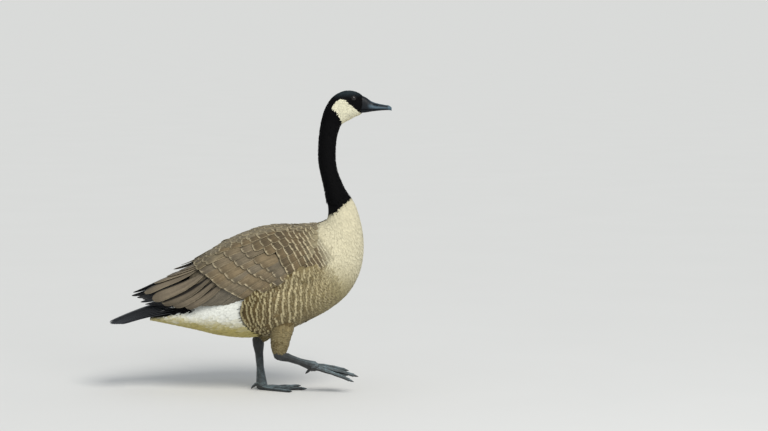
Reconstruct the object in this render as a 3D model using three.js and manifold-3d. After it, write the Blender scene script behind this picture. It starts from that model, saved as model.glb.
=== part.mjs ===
// A life-size Canada goose in mid stride: it stands on its flat left foot and carries the right foot forward,
// toes half closed. Millimetres. +X runs towards the bill, +Y to the bird's left, +Z up.
import * as THREE from 'three';
import { mergeVertices } from 'three/addons/utils/BufferGeometryUtils.js';
import Module from 'manifold-3d';

const wasm = await Module();
wasm.setup();

// Driving dimensions
const GAP = 0.35;
const BODY_SIDES = 26;
const VANE_THICKNESS = 0.7;
const RIGHT = -1;
const LEFT = 1;
const GROUND = -5.5; // level of the ground on the scale of heights below

// The feathered body from the vent to the root of the bill. Each station gives the back and the belly line in
// the middle plane, the half width between them, and sag, how far below the middle the widest level lies.
const BODY = [
  { at: 'under tail coverts', back: [-224, 162], belly: [-226, 151], half: 12, sag: 0 },
  { at: 'tail root', back: [-196, 170], belly: [-200, 147], half: 30, sag: 0.1 },
  { at: 'vent', back: [-162, 187], belly: [-165, 140], half: 45, sag: 0.15 },
  { at: 'rump', back: [-123, 210], belly: [-121, 131], half: 60, sag: 0.2 },
  { at: 'hind belly', back: [-81, 258], belly: [-75, 120], half: 76, sag: 0.2 },
  { at: 'lower back', back: [-35, 309], belly: [-24, 114], half: 88, sag: 0.2 },
  { at: 'thigh root', back: [13, 339], belly: [29, 116], half: 95, sag: 0.16 },
  { at: 'middle back', back: [59, 350], belly: [79, 129], half: 97, sag: 0.12 },
  { at: 'shoulders', back: [101, 356], belly: [125, 151], half: 94, sag: 0.1 },
  { at: 'fore back', back: [134, 364], belly: [174, 178], half: 85, sag: 0.06 },
  { at: 'lower breast', back: [154, 371], belly: [216, 215], half: 71, sag: 0 },
  { at: 'breast', back: [163, 378], belly: [242, 268], half: 58, sag: 0 },
  { at: 'upper breast', back: [166, 392], belly: [247, 334], half: 45, sag: 0 },
  { at: 'neck base', back: [165, 411], belly: [231, 403], half: 33, sag: 0 },
  { at: 'lower neck', back: [158.5, 449], belly: [204, 449], half: 23.5, sag: 0 },
  { at: 'middle neck', back: [148, 499], belly: [188, 495], half: 19.5, sag: 0 },
  { at: 'upper neck', back: [148, 548], belly: [188, 548], half: 18.5, sag: 0 },
  { at: 'throat', back: [154, 592], belly: [197, 581], half: 19.5, sag: 0 },
  { at: 'nape', back: [163.5, 622], belly: [207, 590], half: 20.5, sag: 0 },
  { at: 'hind crown', back: [180, 646], belly: [217, 595], half: 21.5, sag: 0 },
  { at: 'crown', back: [205, 659], belly: [227, 601], half: 20.5, sag: 0.05 },
  { at: 'forehead', back: [229, 658], belly: [239, 606], half: 16.5, sag: 0.1 },
  { at: 'bill root', back: [246, 649], belly: [246, 612], half: 12.5, sag: 0.1 },
];
const RINGS_PER_STATION = 1.5;

// Thin cuts that part the body: the middle in the middle plane, the slope, and the length from back to front.
const BODY_CUTS = [
  { at: [194, 402.5], slope: 31, length: 104 },
  { at: [170, 506], slope: -4, length: 90 },
  { at: [179, 595], slope: -31, length: 100 },
];

// The folded wing lies on a tapering roof. Sections from the shoulder to the wing tip, one every WING_STEP.
const WING_FRONT = 160;
const WING_STEP = 72;
const WING = {
  top: [371, 365, 355, 325, 279, 244, 207],
  middle: [290, 271, 256, 235, 214, 203, 190],
  half: [72, 99, 104, 96, 74, 46, 18],
};
const WING_RAISE = { [RIGHT]: 0, [LEFT]: 14 };
const WING_REACH = { [RIGHT]: 12, [LEFT]: 0 };
const CORE = { front: 166, back: -116, recede: 14, highest: 9, lowest: 104, top: -2.6, bottom: -14, edge: 8 };

// Rows of wing feathers, listed from the one nearest the back to the lowest. Roots and tips are places on the
// roof: X and degrees down from the ridge. Free is the share of the length that shows behind the next row and
// lift the height of root, of the place where it comes free, and of the tip over the roof.
const TIERS = [
  { name: 'primaries', count: 5, width: [20, 17], root: { x: [-84, -50], angle: [80, 99] },
    tip: { x: [-268, -206], angle: [70, 106] }, ease: 1, curve: 1, free: 0.5, stack: 1.1, roll: 0.08,
    lift: [-8, -5.4, -4.6], point: 0.55 },
  { name: 'secondaries', count: 7, width: [33, 29], root: { x: [-62, 26], angle: [21, 90] },
    tip: { x: [-238, -28], angle: [34, 115] }, ease: 1.5, curve: 2.6, free: 0.68, stack: 0.45, roll: 0.095,
    lift: [-7.5, -3.2, -0.9], point: 0.78 },
  { name: 'greater coverts', count: 7, width: [30, 27], root: { x: [-66, 34], angle: [20, 90] },
    tip: { x: [-116, -12], angle: [26, 108] }, ease: 1.2, curve: 1.3, free: 0.72, stack: 0.15, roll: 0.105,
    lift: [-7.5, -2.6, 0.8], point: 0.76 },
  { name: 'median coverts', count: 7, width: [29, 26], root: { x: [-32, 58], angle: [20, 82] },
    tip: { x: [-78, 20], angle: [26, 99] }, ease: 1.1, curve: 1.2, free: 0.74, stack: 0.1, roll: 0.105,
    lift: [-7.5, -2.6, 0.9], point: 0.76 },
];
const SCAPULARS = { rows: 5, lastX: -46, pitch: 34, lean: 12, length: 50, width: 35,
  highest: 13, lowest: [44, 78], free: 0.68, roll: 0.09, lift: [-7.5, -2.6, 1.2], point: 0.7 };

// Tail: a closed fan of sixteen feathers, the middle pair on top. The outer ones start lower and slope less.
const TAIL = { count: 16, rootX: -150, rootZ: 206, rootHalf: 17, length: 165, shorter: 26, width: 25, fan: 16,
  droop: 19, outerDroop: 11.2, layer: 1.02, sink: 20, arch: 3 };
const TAIL_COVERTS = { count: 7, rootX: -122, rootZ: 221, rootHalf: 17, length: 60, width: 22, fan: 15,
  droop: 19.5, outerDroop: 16, layer: 1.02, sink: 8, arch: 1 };
const TAIL_BASE = [
  { x: -92, z: 216, half: 30, rise: 10 },
  { x: -112, z: 206, half: 35, rise: 17 },
  { x: -134, z: 195, half: 37, rise: 21 },
  { x: -154, z: 187, half: 34, rise: 21.5 },
  { x: -172, z: 183, half: 27, rise: 14 },
];

// Head
const EYE = { at: [225.5, 643], radius: 6.4, sunk: 4.3 };
const LID = { radius: 5.7, tube: 1.5 };
const BILL = [
  { x: 238, top: 651, mouth: 618.4, chin: 610, half: 12.6, chinHalf: 11 },
  { x: 253, top: 644.5, mouth: 618.4, chin: 611.5, half: 12.4, chinHalf: 10.6 },
  { x: 266, top: 635.6, mouth: 618.6, chin: 613.6, half: 11.8, chinHalf: 9.6 },
  { x: 280, top: 631, mouth: 619.4, chin: 615.2, half: 11.2, chinHalf: 8.9 },
  { x: 294, top: 628.3, mouth: 620, chin: 616.3, half: 10.6, chinHalf: 8.2 },
  { x: 304, top: 626, mouth: 619.4, chin: 616.4, half: 8.6, chinHalf: 6 },
  { x: 309.5, top: 621.5, mouth: 617.4, chin: 615.4, half: 3.6, chinHalf: 2.4 },
];
const NOSTRIL = { at: [274, 627.6], length: 11, height: 4.4, depth: 5 };

// Legs: places as [X, Y, Z]. The left foot stands; the right one is in the air, half closed and rolled out.
const LEGS = [
  { side: 'left', sign: LEFT, grounded: true, knee: [62, 46, 168], shin: [36, 44, 132],
    ankle: [11.5, 35, 104], joint: [20.5, 9, 4.1], heading: -4, pitch: 0, roll: 0, spread: 27, closed: 0 },
  { side: 'right', sign: RIGHT, grounded: false, knee: [76, -46, 172], shin: [66, -55, 122],
    ankle: [62, -56, 82], joint: [138, -43, 54], heading: 3, pitch: 7, roll: 30, spread: 10, closed: 1 },
];
const SHANK = [
  [0, 13, 10.4], [0.12, 12.6, 9.9], [0.3, 9.2, 7.2],
  [0.6, 8.2, 6.2], [0.82, 10.4, 8], [1, 13, 10],
];
const THIGH = [[0, 29, 24], [0.35, 25.5, 21], [0.7, 20.5, 16.5], [1, 13, 11.2]];
const TOES = [
  { at: 'inner', turn: 1, length: 70, radius: 6 },
  { at: 'middle', turn: 0, length: 90, radius: 6.6 },
  { at: 'outer', turn: -1, length: 82, radius: 6 },
];
const TOE_REST = 0.72;
const CLAW = { length: 11, radius: 3 };
const HIND_TOE = { length: 17, radius: 3.6 };
const WEB = { thickness: 1.2, notch: 0.14 };

// Small helpers
const degrees = THREE.MathUtils.degToRad;
const mix = THREE.MathUtils.lerp;
const clamp = THREE.MathUtils.clamp;
const V = (x, y, z) => new THREE.Vector3(x, y, z);
const FORWARD = V(1, 0, 0);

// Smooth curve through evenly spaced values, at t from 0 to the last index.
function spline(values, t) {
  const last = values.length - 1;
  const k = clamp(Math.floor(t), 0, last - 1);
  const f = t - k;
  const [before, from, to, after] = [-1, 0, 1, 2].map((i) => values[clamp(k + i, 0, last)]);
  const leave = (to - before) / 2;
  const arrive = (after - from) / 2;
  const bend = 3 * (to - from) - 2 * leave - arrive;
  return from + f * (leave + f * (bend + f * (2 * (from - to) + leave + arrive)));
}

function geometryOf(points, triangles) {
  const geometry = new THREE.BufferGeometry().setFromPoints(points);
  geometry.setIndex(triangles.flat());
  return geometry;
}

// Closed skin over rings of points, all of one length, with a fan over each end.
function loft(rings) {
  const sides = rings[0].length;
  const points = rings.flat();
  const triangles = [];
  for (let r = 0; r < rings.length - 1; r++) {
    for (let s = 0; s < sides; s++) {
      const [a, b] = [r * sides + s, r * sides + (s + 1) % sides];
      triangles.push([a, b, b + sides], [a, b + sides, a + sides]);
    }
  }
  for (const [ring, first, flip] of [[rings[0], 0, true], [rings.at(-1), points.length - sides, false]]) {
    const centre = points.push(ring.reduce((sum, p) => sum.add(p), V(0, 0, 0)).divideScalar(sides)) - 1;
    for (let s = 0; s < sides; s++) {
      const [a, b] = [first + s, first + (s + 1) % sides];
      triangles.push(flip ? [centre, b, a] : [centre, a, b]);
    }
  }
  return geometryOf(points, triangles);
}

// Thin plate: pointAt(row, column, face) gives its top (face 1) and bottom (face -1), split alike.
function plate(rows, columns, pointAt) {
  const points = [];
  const triangles = [];
  const layer = (rows + 1) * (columns + 1);
  const index = (i, j, face) => i * (columns + 1) + j + (face > 0 ? 0 : layer);
  for (const face of [1, -1]) {
    for (let i = 0; i <= rows; i++) {
      for (let j = 0; j <= columns; j++) points.push(pointAt(i, j, face));
    }
    for (let i = 0; i < rows; i++) {
      for (let j = 0; j < columns; j++) {
        const [a, b, c, d] = [index(i, j, face), index(i + 1, j, face), index(i + 1, j + 1, face),
          index(i, j + 1, face)];
        triangles.push(face > 0 ? [a, b, c] : [a, c, b], face > 0 ? [a, c, d] : [a, d, c]);
      }
    }
  }
  const rim = [];
  for (let i = 0; i < rows; i++) rim.push([i, 0]);
  for (let j = 0; j < columns; j++) rim.push([rows, j]);
  for (let i = rows; i > 0; i--) rim.push([i, columns]);
  for (let j = columns; j > 0; j--) rim.push([0, j]);
  rim.forEach(([i, j], n) => {
    const [k, l] = rim[(n + 1) % rim.length];
    const [a, b, c, d] = [index(i, j, 1), index(k, l, 1), index(k, l, -1), index(i, j, -1)];
    triangles.push([a, c, b], [a, d, c]);
  });
  return geometryOf(points, triangles);
}

// Tube of elliptical sections along a row of centres. up is the direction of the second radius.
function tube(centres, radii, up, sides = 10) {
  return loft(centres.map((centre, i) => {
    const next = centres[Math.min(i + 1, centres.length - 1)];
    const along = next.clone().sub(centres[Math.max(i - 1, 0)]).normalize();
    const across = V(0, 0, 0).crossVectors(up, along).normalize();
    const high = V(0, 0, 0).crossVectors(along, across);
    return Array.from({ length: sides }, (_, s) => {
      const angle = (s + 0.5) / sides * 2 * Math.PI;
      return centre.clone().addScaledVector(across, radii[i][0] * Math.cos(angle))
        .addScaledVector(high, radii[i][1] * Math.sin(angle));
    });
  }));
}

// A closed geometry as a solid, faces outwards.
function solid(geometry) {
  const bare = new THREE.BufferGeometry().setAttribute('position', geometry.getAttribute('position'));
  bare.setIndex(geometry.index);
  const merged = mergeVertices(bare, 1e-4);
  const triVerts = new Uint32Array(merged.index.array);
  const make = () => new wasm.Manifold(new wasm.Mesh({
    numProp: 3, vertProperties: merged.attributes.position.array, triVerts,
  }));
  const made = make();
  if (made.volume() > 0) return made;
  for (let i = 0; i < triVerts.length; i += 3) {
    [triVerts[i], triVerts[i + 1]] = [triVerts[i + 1], triVerts[i]];
  }
  return make();
}

const join = (solids) => wasm.Manifold.union(solids);

function largest(whole) {
  return whole.decompose().reduce((best, piece) => (piece.volume() > best.volume() ? piece : best));
}

function geometryFrom(whole) {
  const { numProp, numVert, vertProperties, triVerts } = whole.getMesh();
  const position = new Float32Array(numVert * 3);
  for (let i = 0; i < numVert; i++) {
    position.set(vertProperties.subarray(i * numProp, i * numProp + 3), i * 3);
  }
  return new THREE.BufferGeometry().setAttribute('position', new THREE.BufferAttribute(position, 3))
    .setIndex(new THREE.BufferAttribute(new Uint32Array(triVerts), 1));
}

// The solid grown by a distance along its vertex normals.
function swell(whole, distance) {
  const grown = geometryFrom(whole);
  grown.computeVertexNormals();
  const [p, n] = [grown.attributes.position, grown.attributes.normal];
  for (let i = 0; i < p.count; i++) {
    p.setXYZ(i, p.getX(i) + n.getX(i) * distance, p.getY(i) + n.getY(i) * distance,
      p.getZ(i) + n.getZ(i) * distance);
  }
  return solid(grown);
}

// Body
function bodyValue(t, key, axis) {
  return spline(BODY.map((station) => (axis === undefined ? station[key] : station[key][axis])), t);
}

// Point of the plumage: t counts stations from the vent, angle goes from the back (0) round to the belly.
function bodyPoint(t, angle) {
  const back = V(bodyValue(t, 'back', 0), 0, bodyValue(t, 'back', 1));
  const belly = V(bodyValue(t, 'belly', 0), 0, bodyValue(t, 'belly', 1));
  const out = Math.sin(angle);
  const level = Math.cos(angle) - bodyValue(t, 'sag') * out * out;
  const point = back.clone().add(belly).multiplyScalar(0.5);
  point.addScaledVector(back.sub(belly), level / 2);
  point.y = bodyValue(t, 'half') * Math.sign(out) * Math.abs(out) ** 0.92;
  return point;
}

function bodyGeometry() {
  const last = BODY.length - 1;
  const count = Math.round(last * RINGS_PER_STATION);
  return loft(Array.from({ length: count + 1 }, (_, r) => Array.from({ length: BODY_SIDES }, (_, s) => (
    bodyPoint(r / count * last, s / BODY_SIDES * 2 * Math.PI)))));
}

// Distance of the plumage from the middle plane beside a place in that plane.
function bodyHalfAt(x, z) {
  let best = { miss: Infinity };
  for (let t = 0; t < BODY.length - 1; t += 0.05) {
    for (let angle = 0.05; angle < Math.PI; angle += 0.05) {
      const p = bodyPoint(t, angle);
      const miss = Math.hypot(p.x - x, p.z - z);
      if (miss < best.miss) best = { miss, half: p.y };
    }
  }
  return best.half;
}

// The body in lengths from the torso up, parted by thin cuts.
function partBody() {
  const cuts = BODY_CUTS.map(({ at: [x, z], slope, length }) => solid(
    new THREE.BoxGeometry(length, 120, GAP).rotateY(-degrees(slope)).translate(x, 0, z)));
  const lengths = solid(bodyGeometry()).subtract(join(cuts)).decompose();
  return lengths.sort((a, b) => a.boundingBox().max[2] - b.boundingBox().max[2]);
}

// Wings
function wingPoint(sign, x, angle, lift) {
  const t = (WING_FRONT - x) / WING_STEP;
  const raise = WING_RAISE[sign] * THREE.MathUtils.smoothstep(t, 2.5, 6);
  const [top, middle, half] = [WING.top, WING.middle, WING.half].map((values) => spline(values, t));
  const rise = top - middle;
  const normal = V(0, Math.sin(angle) / half, Math.cos(angle) / rise).normalize();
  return V(x, sign * (half * Math.sin(angle) + normal.y * lift), middle + rise * Math.cos(angle)
    + normal.z * lift + raise);
}

// Arc length per radian on the wing's roof.
function wingRadius(x, angle) {
  const t = (WING_FRONT - x) / WING_STEP;
  const rise = spline(WING.top, t) - spline(WING.middle, t);
  return Math.hypot(spline(WING.half, t) * Math.cos(angle), rise * Math.sin(angle));
}

// Share of a feather's width at s along it: narrow at the root, full, then round to the tip.
function vaneShare(s, point) {
  const root = mix(0.45, 1, THREE.MathUtils.smoothstep(s, 0, 0.4));
  return s <= point ? root : root * Math.sqrt(Math.max(1 - ((s - point) / (1 - point)) ** 2, 0.02));
}

// One feather: place(s, across, lift) puts a point on the surface that the feather lies on.
function vane({ width, point, place, liftAt, rows, roll = 0 }) {
  return solid(plate(rows.length - 1, 2, (i, j, face) => {
    const s = rows[i];
    const across = (j - 1) * width / 2 * vaneShare(s, point);
    const lift = liftAt(s) + roll * across + face * VANE_THICKNESS / 2;
    return place(s, across, lift);
  }));
}

// A feather on the wing's roof between two places {x, angle}.
function wingVane(sign, root, tip, { width, point, lift, free, roll, rows, under = 0 }) {
  const place = (s, across, height) => {
    const [x, angle] = [mix(root.x, tip.x, s), mix(root.angle, tip.angle, s)];
    const radius = wingRadius(x, angle);
    const run = V(tip.x - root.x, 0, (tip.angle - root.angle) * radius).normalize();
    return wingPoint(sign, x + run.z * across, angle - run.x * across / radius, height);
  };
  const hidden = 1 - free;
  const liftAt = (s) => (s < hidden ? mix(lift[0], lift[1], s / hidden)
    : mix(lift[1], lift[2], (s - hidden) / free)) - under;
  return vane({ width, point, place, liftAt, roll, rows });
}

function tierVanes(sign, tier) {
  const { root, tip } = tier;
  const reach = (x) => x + WING_REACH[sign] * THREE.MathUtils.smoothstep(-x, 100, 230);
  const hidden = 1 - tier.free;
  return Array.from({ length: tier.count }, (_, n) => {
    const k = n / (tier.count - 1);
    const from = { x: mix(...root.x, k), angle: degrees(mix(...root.angle, k)) };
    const low = 1 - (1 - k) ** tier.curve;
    const to = { x: reach(mix(...tip.x, k ** tier.ease)), angle: degrees(mix(...tip.angle, low)) };
    const long = from.x - to.x > 90;
    const rows = long ? [0, hidden, mix(hidden, 1, 0.5), 0.88, 1] : [0, mix(hidden, 1, 0.2), 0.86, 1];
    return wingVane(sign, from, to, { ...tier, width: mix(...tier.width, k), rows, under: n * tier.stack });
  });
}

function scapularVanes(sign) {
  const vanes = [];
  for (let row = 0; row < SCAPULARS.rows; row++) {
    const share = row / (SCAPULARS.rows - 1);
    const count = 3 + row % 2;
    const lowest = mix(...SCAPULARS.lowest, share);
    for (let n = 0; n < count; n++) {
      const across = (n + (row % 2 ? 0 : 0.25)) / (count - 0.5);
      const tip = { x: SCAPULARS.lastX + row * SCAPULARS.pitch + SCAPULARS.lean * across,
        angle: degrees(mix(SCAPULARS.highest, lowest, across)) };
      const root = { x: tip.x + SCAPULARS.length, angle: tip.angle * 0.9 };
      vanes.push(wingVane(sign, root, tip, { ...SCAPULARS, rows: [0, 0.45, 0.84, 1] }));
    }
  }
  return vanes;
}

// The solid arm under the coverts, which the feathers' roots are set in.
function wingCore(sign) {
  const [rows, columns] = [9, 7];
  return solid(plate(rows, columns, (i, j, face) => {
    const [u, v] = [i / rows, j / columns];
    const edge = Math.min(1, 7 * Math.min(u, 1.1 - u), 5 * Math.min(v + 0.1, 1.1 - v));
    const lowest = CORE.lowest - 22 * (1 - u) ** 3 - 14 * u ** 4;
    const angle = degrees(mix(CORE.highest + 6 * u, lowest, v));
    const lift = face > 0 ? CORE.top - CORE.edge * (1 - edge) : CORE.bottom;
    return wingPoint(sign, mix(CORE.front - CORE.recede * v * v, CORE.back, u), angle, lift);
  }));
}

function wing(sign, fatBody) {
  const feathers = TIERS.flatMap((tier) => tierVanes(sign, tier)).concat(scapularVanes(sign));
  return largest(join([wingCore(sign), ...feathers]).subtract(fatBody));
}

// Tail
// Feathers fanned about the tail's root, the middle one on top and each next one under it.
function fanVanes(spec) {
  const { count, rootX, rootZ, rootHalf, length, shorter = 0, width, fan, layer, arch } = spec;
  const middle = (count - 1) / 2;
  return Array.from({ length: count }, (_, n) => {
    const side = (n - middle) / middle;
    const turn = degrees(side * fan);
    const rank = Math.abs(2 * (n - middle) - 0.5) - 0.5;
    const reach = length - shorter * side * side;
    const slope = Math.tan(degrees(mix(spec.droop, spec.outerDroop, side * side)));
    const start = rootZ - rank * layer - spec.sink * side * side;
    const place = (s, across, height) => {
      const x = rootX - reach * s * Math.cos(turn) + across * Math.sin(turn);
      const y = side * rootHalf + reach * s * Math.sin(turn) + across * Math.cos(turn);
      const arched = arch * (y / (rootHalf + length * Math.sin(degrees(fan)))) ** 2;
      return V(x, y, start - (rootX - x) * slope - arched + height);
    };
    return vane({ width, point: 0.84, place, liftAt: (s) => -0.5 * s, rows: [0, 0.4, 0.76, 0.93, 1] });
  });
}

function tail(fatBody) {
  const centres = TAIL_BASE.map(({ x, z }) => V(x, 0, z));
  const base = solid(tube(centres, TAIL_BASE.map(({ half, rise }) => [half, rise]), V(0, 0, 1), 16));
  return largest(join([base, ...fanVanes(TAIL), ...fanVanes(TAIL_COVERTS)]).subtract(fatBody));
}

// Head
function eyeCentre(sign) {
  const [x, z] = EYE.at;
  return V(x, sign * (bodyHalfAt(x, z) - EYE.sunk), z);
}

function ball(centre, radius) {
  return solid(new THREE.SphereGeometry(radius, 12, 8).rotateX(Math.PI / 2).translate(...centre));
}

function headWithLids(head) {
  const [x, z] = EYE.at;
  const out = bodyHalfAt(x, z);
  let whole = head;
  for (const sign of [RIGHT, LEFT]) {
    const ring = new THREE.TorusGeometry(LID.radius, LID.tube, 6, 14).scale(1, 0.92, 1).rotateX(Math.PI / 2)
      .rotateZ(sign * 0.16).translate(x, sign * (out - 0.2), z);
    whole = whole.add(solid(ring));
  }
  for (const sign of [RIGHT, LEFT]) whole = whole.subtract(ball(eyeCentre(sign), EYE.radius + GAP));
  return largest(whole);
}

// One mandible: an arch of points over a flat side, from the root to the nail.
function mandible(upper) {
  const sides = 14;
  const rows = (BILL.length - 1) * 1.5;
  const at = (key, t) => spline(BILL.map((station) => station[key]), t);
  return loft(Array.from({ length: rows + 1 }, (_, r) => {
    const t = r / 1.5;
    const mouth = at('mouth', t) + (upper ? GAP / 2 : -GAP / 2);
    const reach = upper ? at('top', t) - mouth : mouth - at('chin', t);
    const half = at(upper ? 'half' : 'chinHalf', t);
    return Array.from({ length: sides }, (_, s) => {
      const angle = s / sides * 2 * Math.PI;
      const rise = Math.cos(angle);
      const height = rise > 0 ? reach * rise ** 0.85 : 0.9 * rise;
      return V(at('x', t), half * Math.sign(Math.sin(angle)) * Math.abs(Math.sin(angle)) ** 0.8,
        mouth + (upper ? Math.max(height, 0) : -Math.max(height, 0)));
    });
  }));
}

function nostril(sign) {
  const [x, z] = NOSTRIL.at;
  const { length, height, depth } = NOSTRIL;
  const slot = new THREE.SphereGeometry(1, 10, 6).scale(length / 2, depth, height / 2);
  return solid(slot.rotateY(degrees(14)).translate(x, sign * 10.5, z));
}

// Legs
function legFrame({ joint, heading, pitch, roll }) {
  const turn = new THREE.Matrix4().makeRotationZ(degrees(heading));
  turn.multiply(new THREE.Matrix4().makeRotationY(degrees(pitch)));
  turn.multiply(new THREE.Matrix4().makeRotationX(degrees(roll)));
  return turn.setPosition(...joint);
}

// Centre of a toe at s along it, in the foot's frame: forward X, left Y, up Z from the joint.
function toeCentre(leg, toe, s) {
  const turn = degrees(toe.turn * leg.spread * leg.sign * -1);
  const run = toe.length * s;
  const flat = (leg.joint[2] - GROUND - TOE_REST * toeRadius(toe, s)) * Math.min(1, 2.6 * s + 0.35);
  const fall = leg.grounded ? flat : 9 * s * s + 3 * s;
  return V(run * Math.cos(turn), run * Math.sin(turn) - 4 * toe.turn * leg.sign, -fall);
}

function toeRadius(toe, s) {
  return toe.radius * mix(1, 0.62, s) * (1 + 0.07 * Math.cos(s * 6 * Math.PI));
}

function foot(leg) {
  const pieces = [];
  for (const toe of TOES) {
    const steps = Array.from({ length: 7 }, (_, i) => i / 6);
    pieces.push(solid(tube(steps.map((s) => toeCentre(leg, toe, s)),
      steps.map((s) => [toeRadius(toe, s), toeRadius(toe, s) * 0.9]), V(0, 0, 1), 8)));
    const [end, before] = [toeCentre(leg, toe, 1), toeCentre(leg, toe, 0.9)];
    const out = end.clone().sub(before).normalize();
    const claw = [-4, 4, CLAW.length].map((d) => end.clone().addScaledVector(out, d));
    const size = [1, 0.85, 0.18].map((share) => [CLAW.radius * share, CLAW.radius * share * 1.1]);
    pieces.push(solid(tube(claw, size, V(0, 0, 1), 6)));
  }
  for (const [a, b] of [[TOES[0], TOES[1]], [TOES[1], TOES[2]]]) {
    pieces.push(solid(plate(5, 2, (i, j, face) => {
      const middle = 4 * (j / 2) * (1 - j / 2);
      const s = mix(0.02, 0.93, i / 5) * (1 - WEB.notch * middle * (i / 5) ** 2);
      const point = toeCentre(leg, a, s).lerp(toeCentre(leg, b, s), j / 2);
      const droop = leg.grounded ? 0.8 : 7 * leg.closed;
      return point.add(V(0, 0, face * WEB.thickness / 2 - droop * middle * s));
    })));
  }
  const hang = (s) => (leg.grounded ? V(-6 - HIND_TOE.length * s, -4 * leg.sign, 5 - 12 * s * s)
    : V(-5 - 11 * s, 3 * leg.sign, -3 - HIND_TOE.length * s));
  const hind = [0, 0.4, 0.8, 1].map(hang);
  pieces.push(solid(tube(hind, [1, 1, 0.7, 0.25].map((k) => [HIND_TOE.radius * k, HIND_TOE.radius * k]),
    V(0, 0, 1), 7)));
  const pad = new THREE.SphereGeometry(1, 10, 7).scale(13, 11.5, 10.5);
  pieces.push(solid(pad));
  const placed = join(pieces).transform([...legFrame(leg).elements]);
  return leg.grounded ? placed.trimByPlane([0, 0, 1], GROUND) : placed;
}

function limb(from, to, rows, up) {
  const centres = rows.map(([s]) => V(...from).lerp(V(...to), s));
  return solid(tube(centres, rows.map(([, a, b]) => [b, a]), up, 10));
}

// The two ends of a thin cut across a limb at a point, across the line from one place to the other.
function cutAcross(whole, at, direction) {
  const n = direction.clone().normalize();
  const offset = n.dot(at);
  return [whole.trimByPlane([-n.x, -n.y, -n.z], GAP / 2 - offset),
    whole.trimByPlane([n.x, n.y, n.z], offset + GAP / 2)];
}

function legParts(leg, fatBody) {
  const [knee, shin, ankle, joint] = [leg.knee, leg.shin, leg.ankle, leg.joint].map((p) => V(...p));
  const bent = (s) => (s < 0.5 ? knee.clone().lerp(shin, s * 2) : shin.clone().lerp(ankle, s * 2 - 1));
  const centres = THIGH.map(([s]) => bent(s));
  const thigh = solid(tube(centres, THIGH.map(([, a, b]) => [b, a]), FORWARD, 16)).subtract(fatBody);
  const ankleKnob = solid(new THREE.SphereGeometry(1, 10, 7).scale(13, 10.6, 12.6).translate(...ankle));
  const whole = join([thigh, limb(leg.ankle, leg.joint, SHANK, FORWARD), ankleKnob, foot(leg)]);
  const [upper, lower] = cutAcross(whole, ankle.clone().lerp(shin, 0.12), ankle.clone().sub(shin));
  const [shank, footEnd] = cutAcross(lower, joint.clone().lerp(ankle, 0.16), joint.clone().sub(ankle));
  return { thigh: largest(upper), shank: largest(shank), foot: largest(footEnd) };
}

// Materials
const skinTone = (color, roughness) => new THREE.MeshStandardMaterial({ color, roughness, metalness: 0 });
const MATERIALS = {
  black_plumage: skinTone(0x15151a, 0.8),
  breast_plumage: skinTone(0xb8a888, 0.85),
  wing_plumage: skinTone(0x6b5d4e, 0.75),
  tail_plumage: skinTone(0x1d1b1e, 0.6),
  thigh_plumage: skinTone(0x93805f, 0.85),
  bill: skinTone(0x1b1d22, 0.4),
  eye: skinTone(0x1a0f08, 0.08),
  leg_skin: skinTone(0x26262a, 0.5),
};

const goose = new THREE.Group();

function addNode(name, whole, material) {
  const mesh = new THREE.Mesh(geometryFrom(whole), MATERIALS[material]);
  mesh.name = name;
  goose.add(mesh);
}

function buildBody(fatBody) {
  const [torso, lowerNeck, upperNeck, head] = partBody();
  addNode('torso', torso, 'breast_plumage');
  addNode('neck_lower', lowerNeck, 'black_plumage');
  addNode('neck_upper', upperNeck, 'black_plumage');
  addNode('head', headWithLids(head), 'black_plumage');
  const nostrils = join([nostril(RIGHT), nostril(LEFT)]);
  addNode('bill_upper', largest(solid(mandible(true)).subtract(fatBody).subtract(nostrils)), 'bill');
  addNode('bill_lower', largest(solid(mandible(false)).subtract(fatBody)), 'bill');
}

const fatBody = swell(solid(bodyGeometry()), GAP);
buildBody(fatBody);
for (const [side, sign] of [['right', RIGHT], ['left', LEFT]]) {
  addNode(`eye_${side}`, ball(eyeCentre(sign), EYE.radius), 'eye');
  addNode(`wing_${side}`, wing(sign, fatBody), 'wing_plumage');
}
addNode('tail', tail(fatBody), 'tail_plumage');
for (const leg of LEGS) {
  const parts = legParts(leg, fatBody);
  addNode(`thigh_${leg.side}`, parts.thigh, 'thigh_plumage');
  addNode(`shank_${leg.side}`, parts.shank, 'leg_skin');
  addNode(`foot_${leg.side}`, parts.foot, 'leg_skin');
}

// The origin is the middle of the bird's box at the ground.
const box = new THREE.Box3().setFromObject(goose);
const centre = box.getCenter(V(0, 0, 0));
goose.position.set(-centre.x, -centre.y, -box.min.z);

export default goose;
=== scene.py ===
import math

import bpy
import numpy as np
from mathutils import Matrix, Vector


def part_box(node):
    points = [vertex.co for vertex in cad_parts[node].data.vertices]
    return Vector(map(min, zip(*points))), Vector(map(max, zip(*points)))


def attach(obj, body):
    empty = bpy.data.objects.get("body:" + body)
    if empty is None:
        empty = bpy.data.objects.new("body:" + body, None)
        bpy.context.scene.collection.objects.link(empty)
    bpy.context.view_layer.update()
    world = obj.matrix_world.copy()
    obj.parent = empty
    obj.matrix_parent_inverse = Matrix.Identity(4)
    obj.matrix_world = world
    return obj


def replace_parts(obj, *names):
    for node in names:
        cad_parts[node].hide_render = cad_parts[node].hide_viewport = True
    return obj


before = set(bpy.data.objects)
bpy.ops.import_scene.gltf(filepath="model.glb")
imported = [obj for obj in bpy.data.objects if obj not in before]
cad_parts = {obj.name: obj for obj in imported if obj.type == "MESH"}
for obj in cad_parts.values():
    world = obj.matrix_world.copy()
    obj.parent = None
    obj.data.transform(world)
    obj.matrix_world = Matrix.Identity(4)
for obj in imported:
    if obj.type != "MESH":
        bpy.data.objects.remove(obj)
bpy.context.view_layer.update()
RNG = np.random.default_rng(11)

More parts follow.
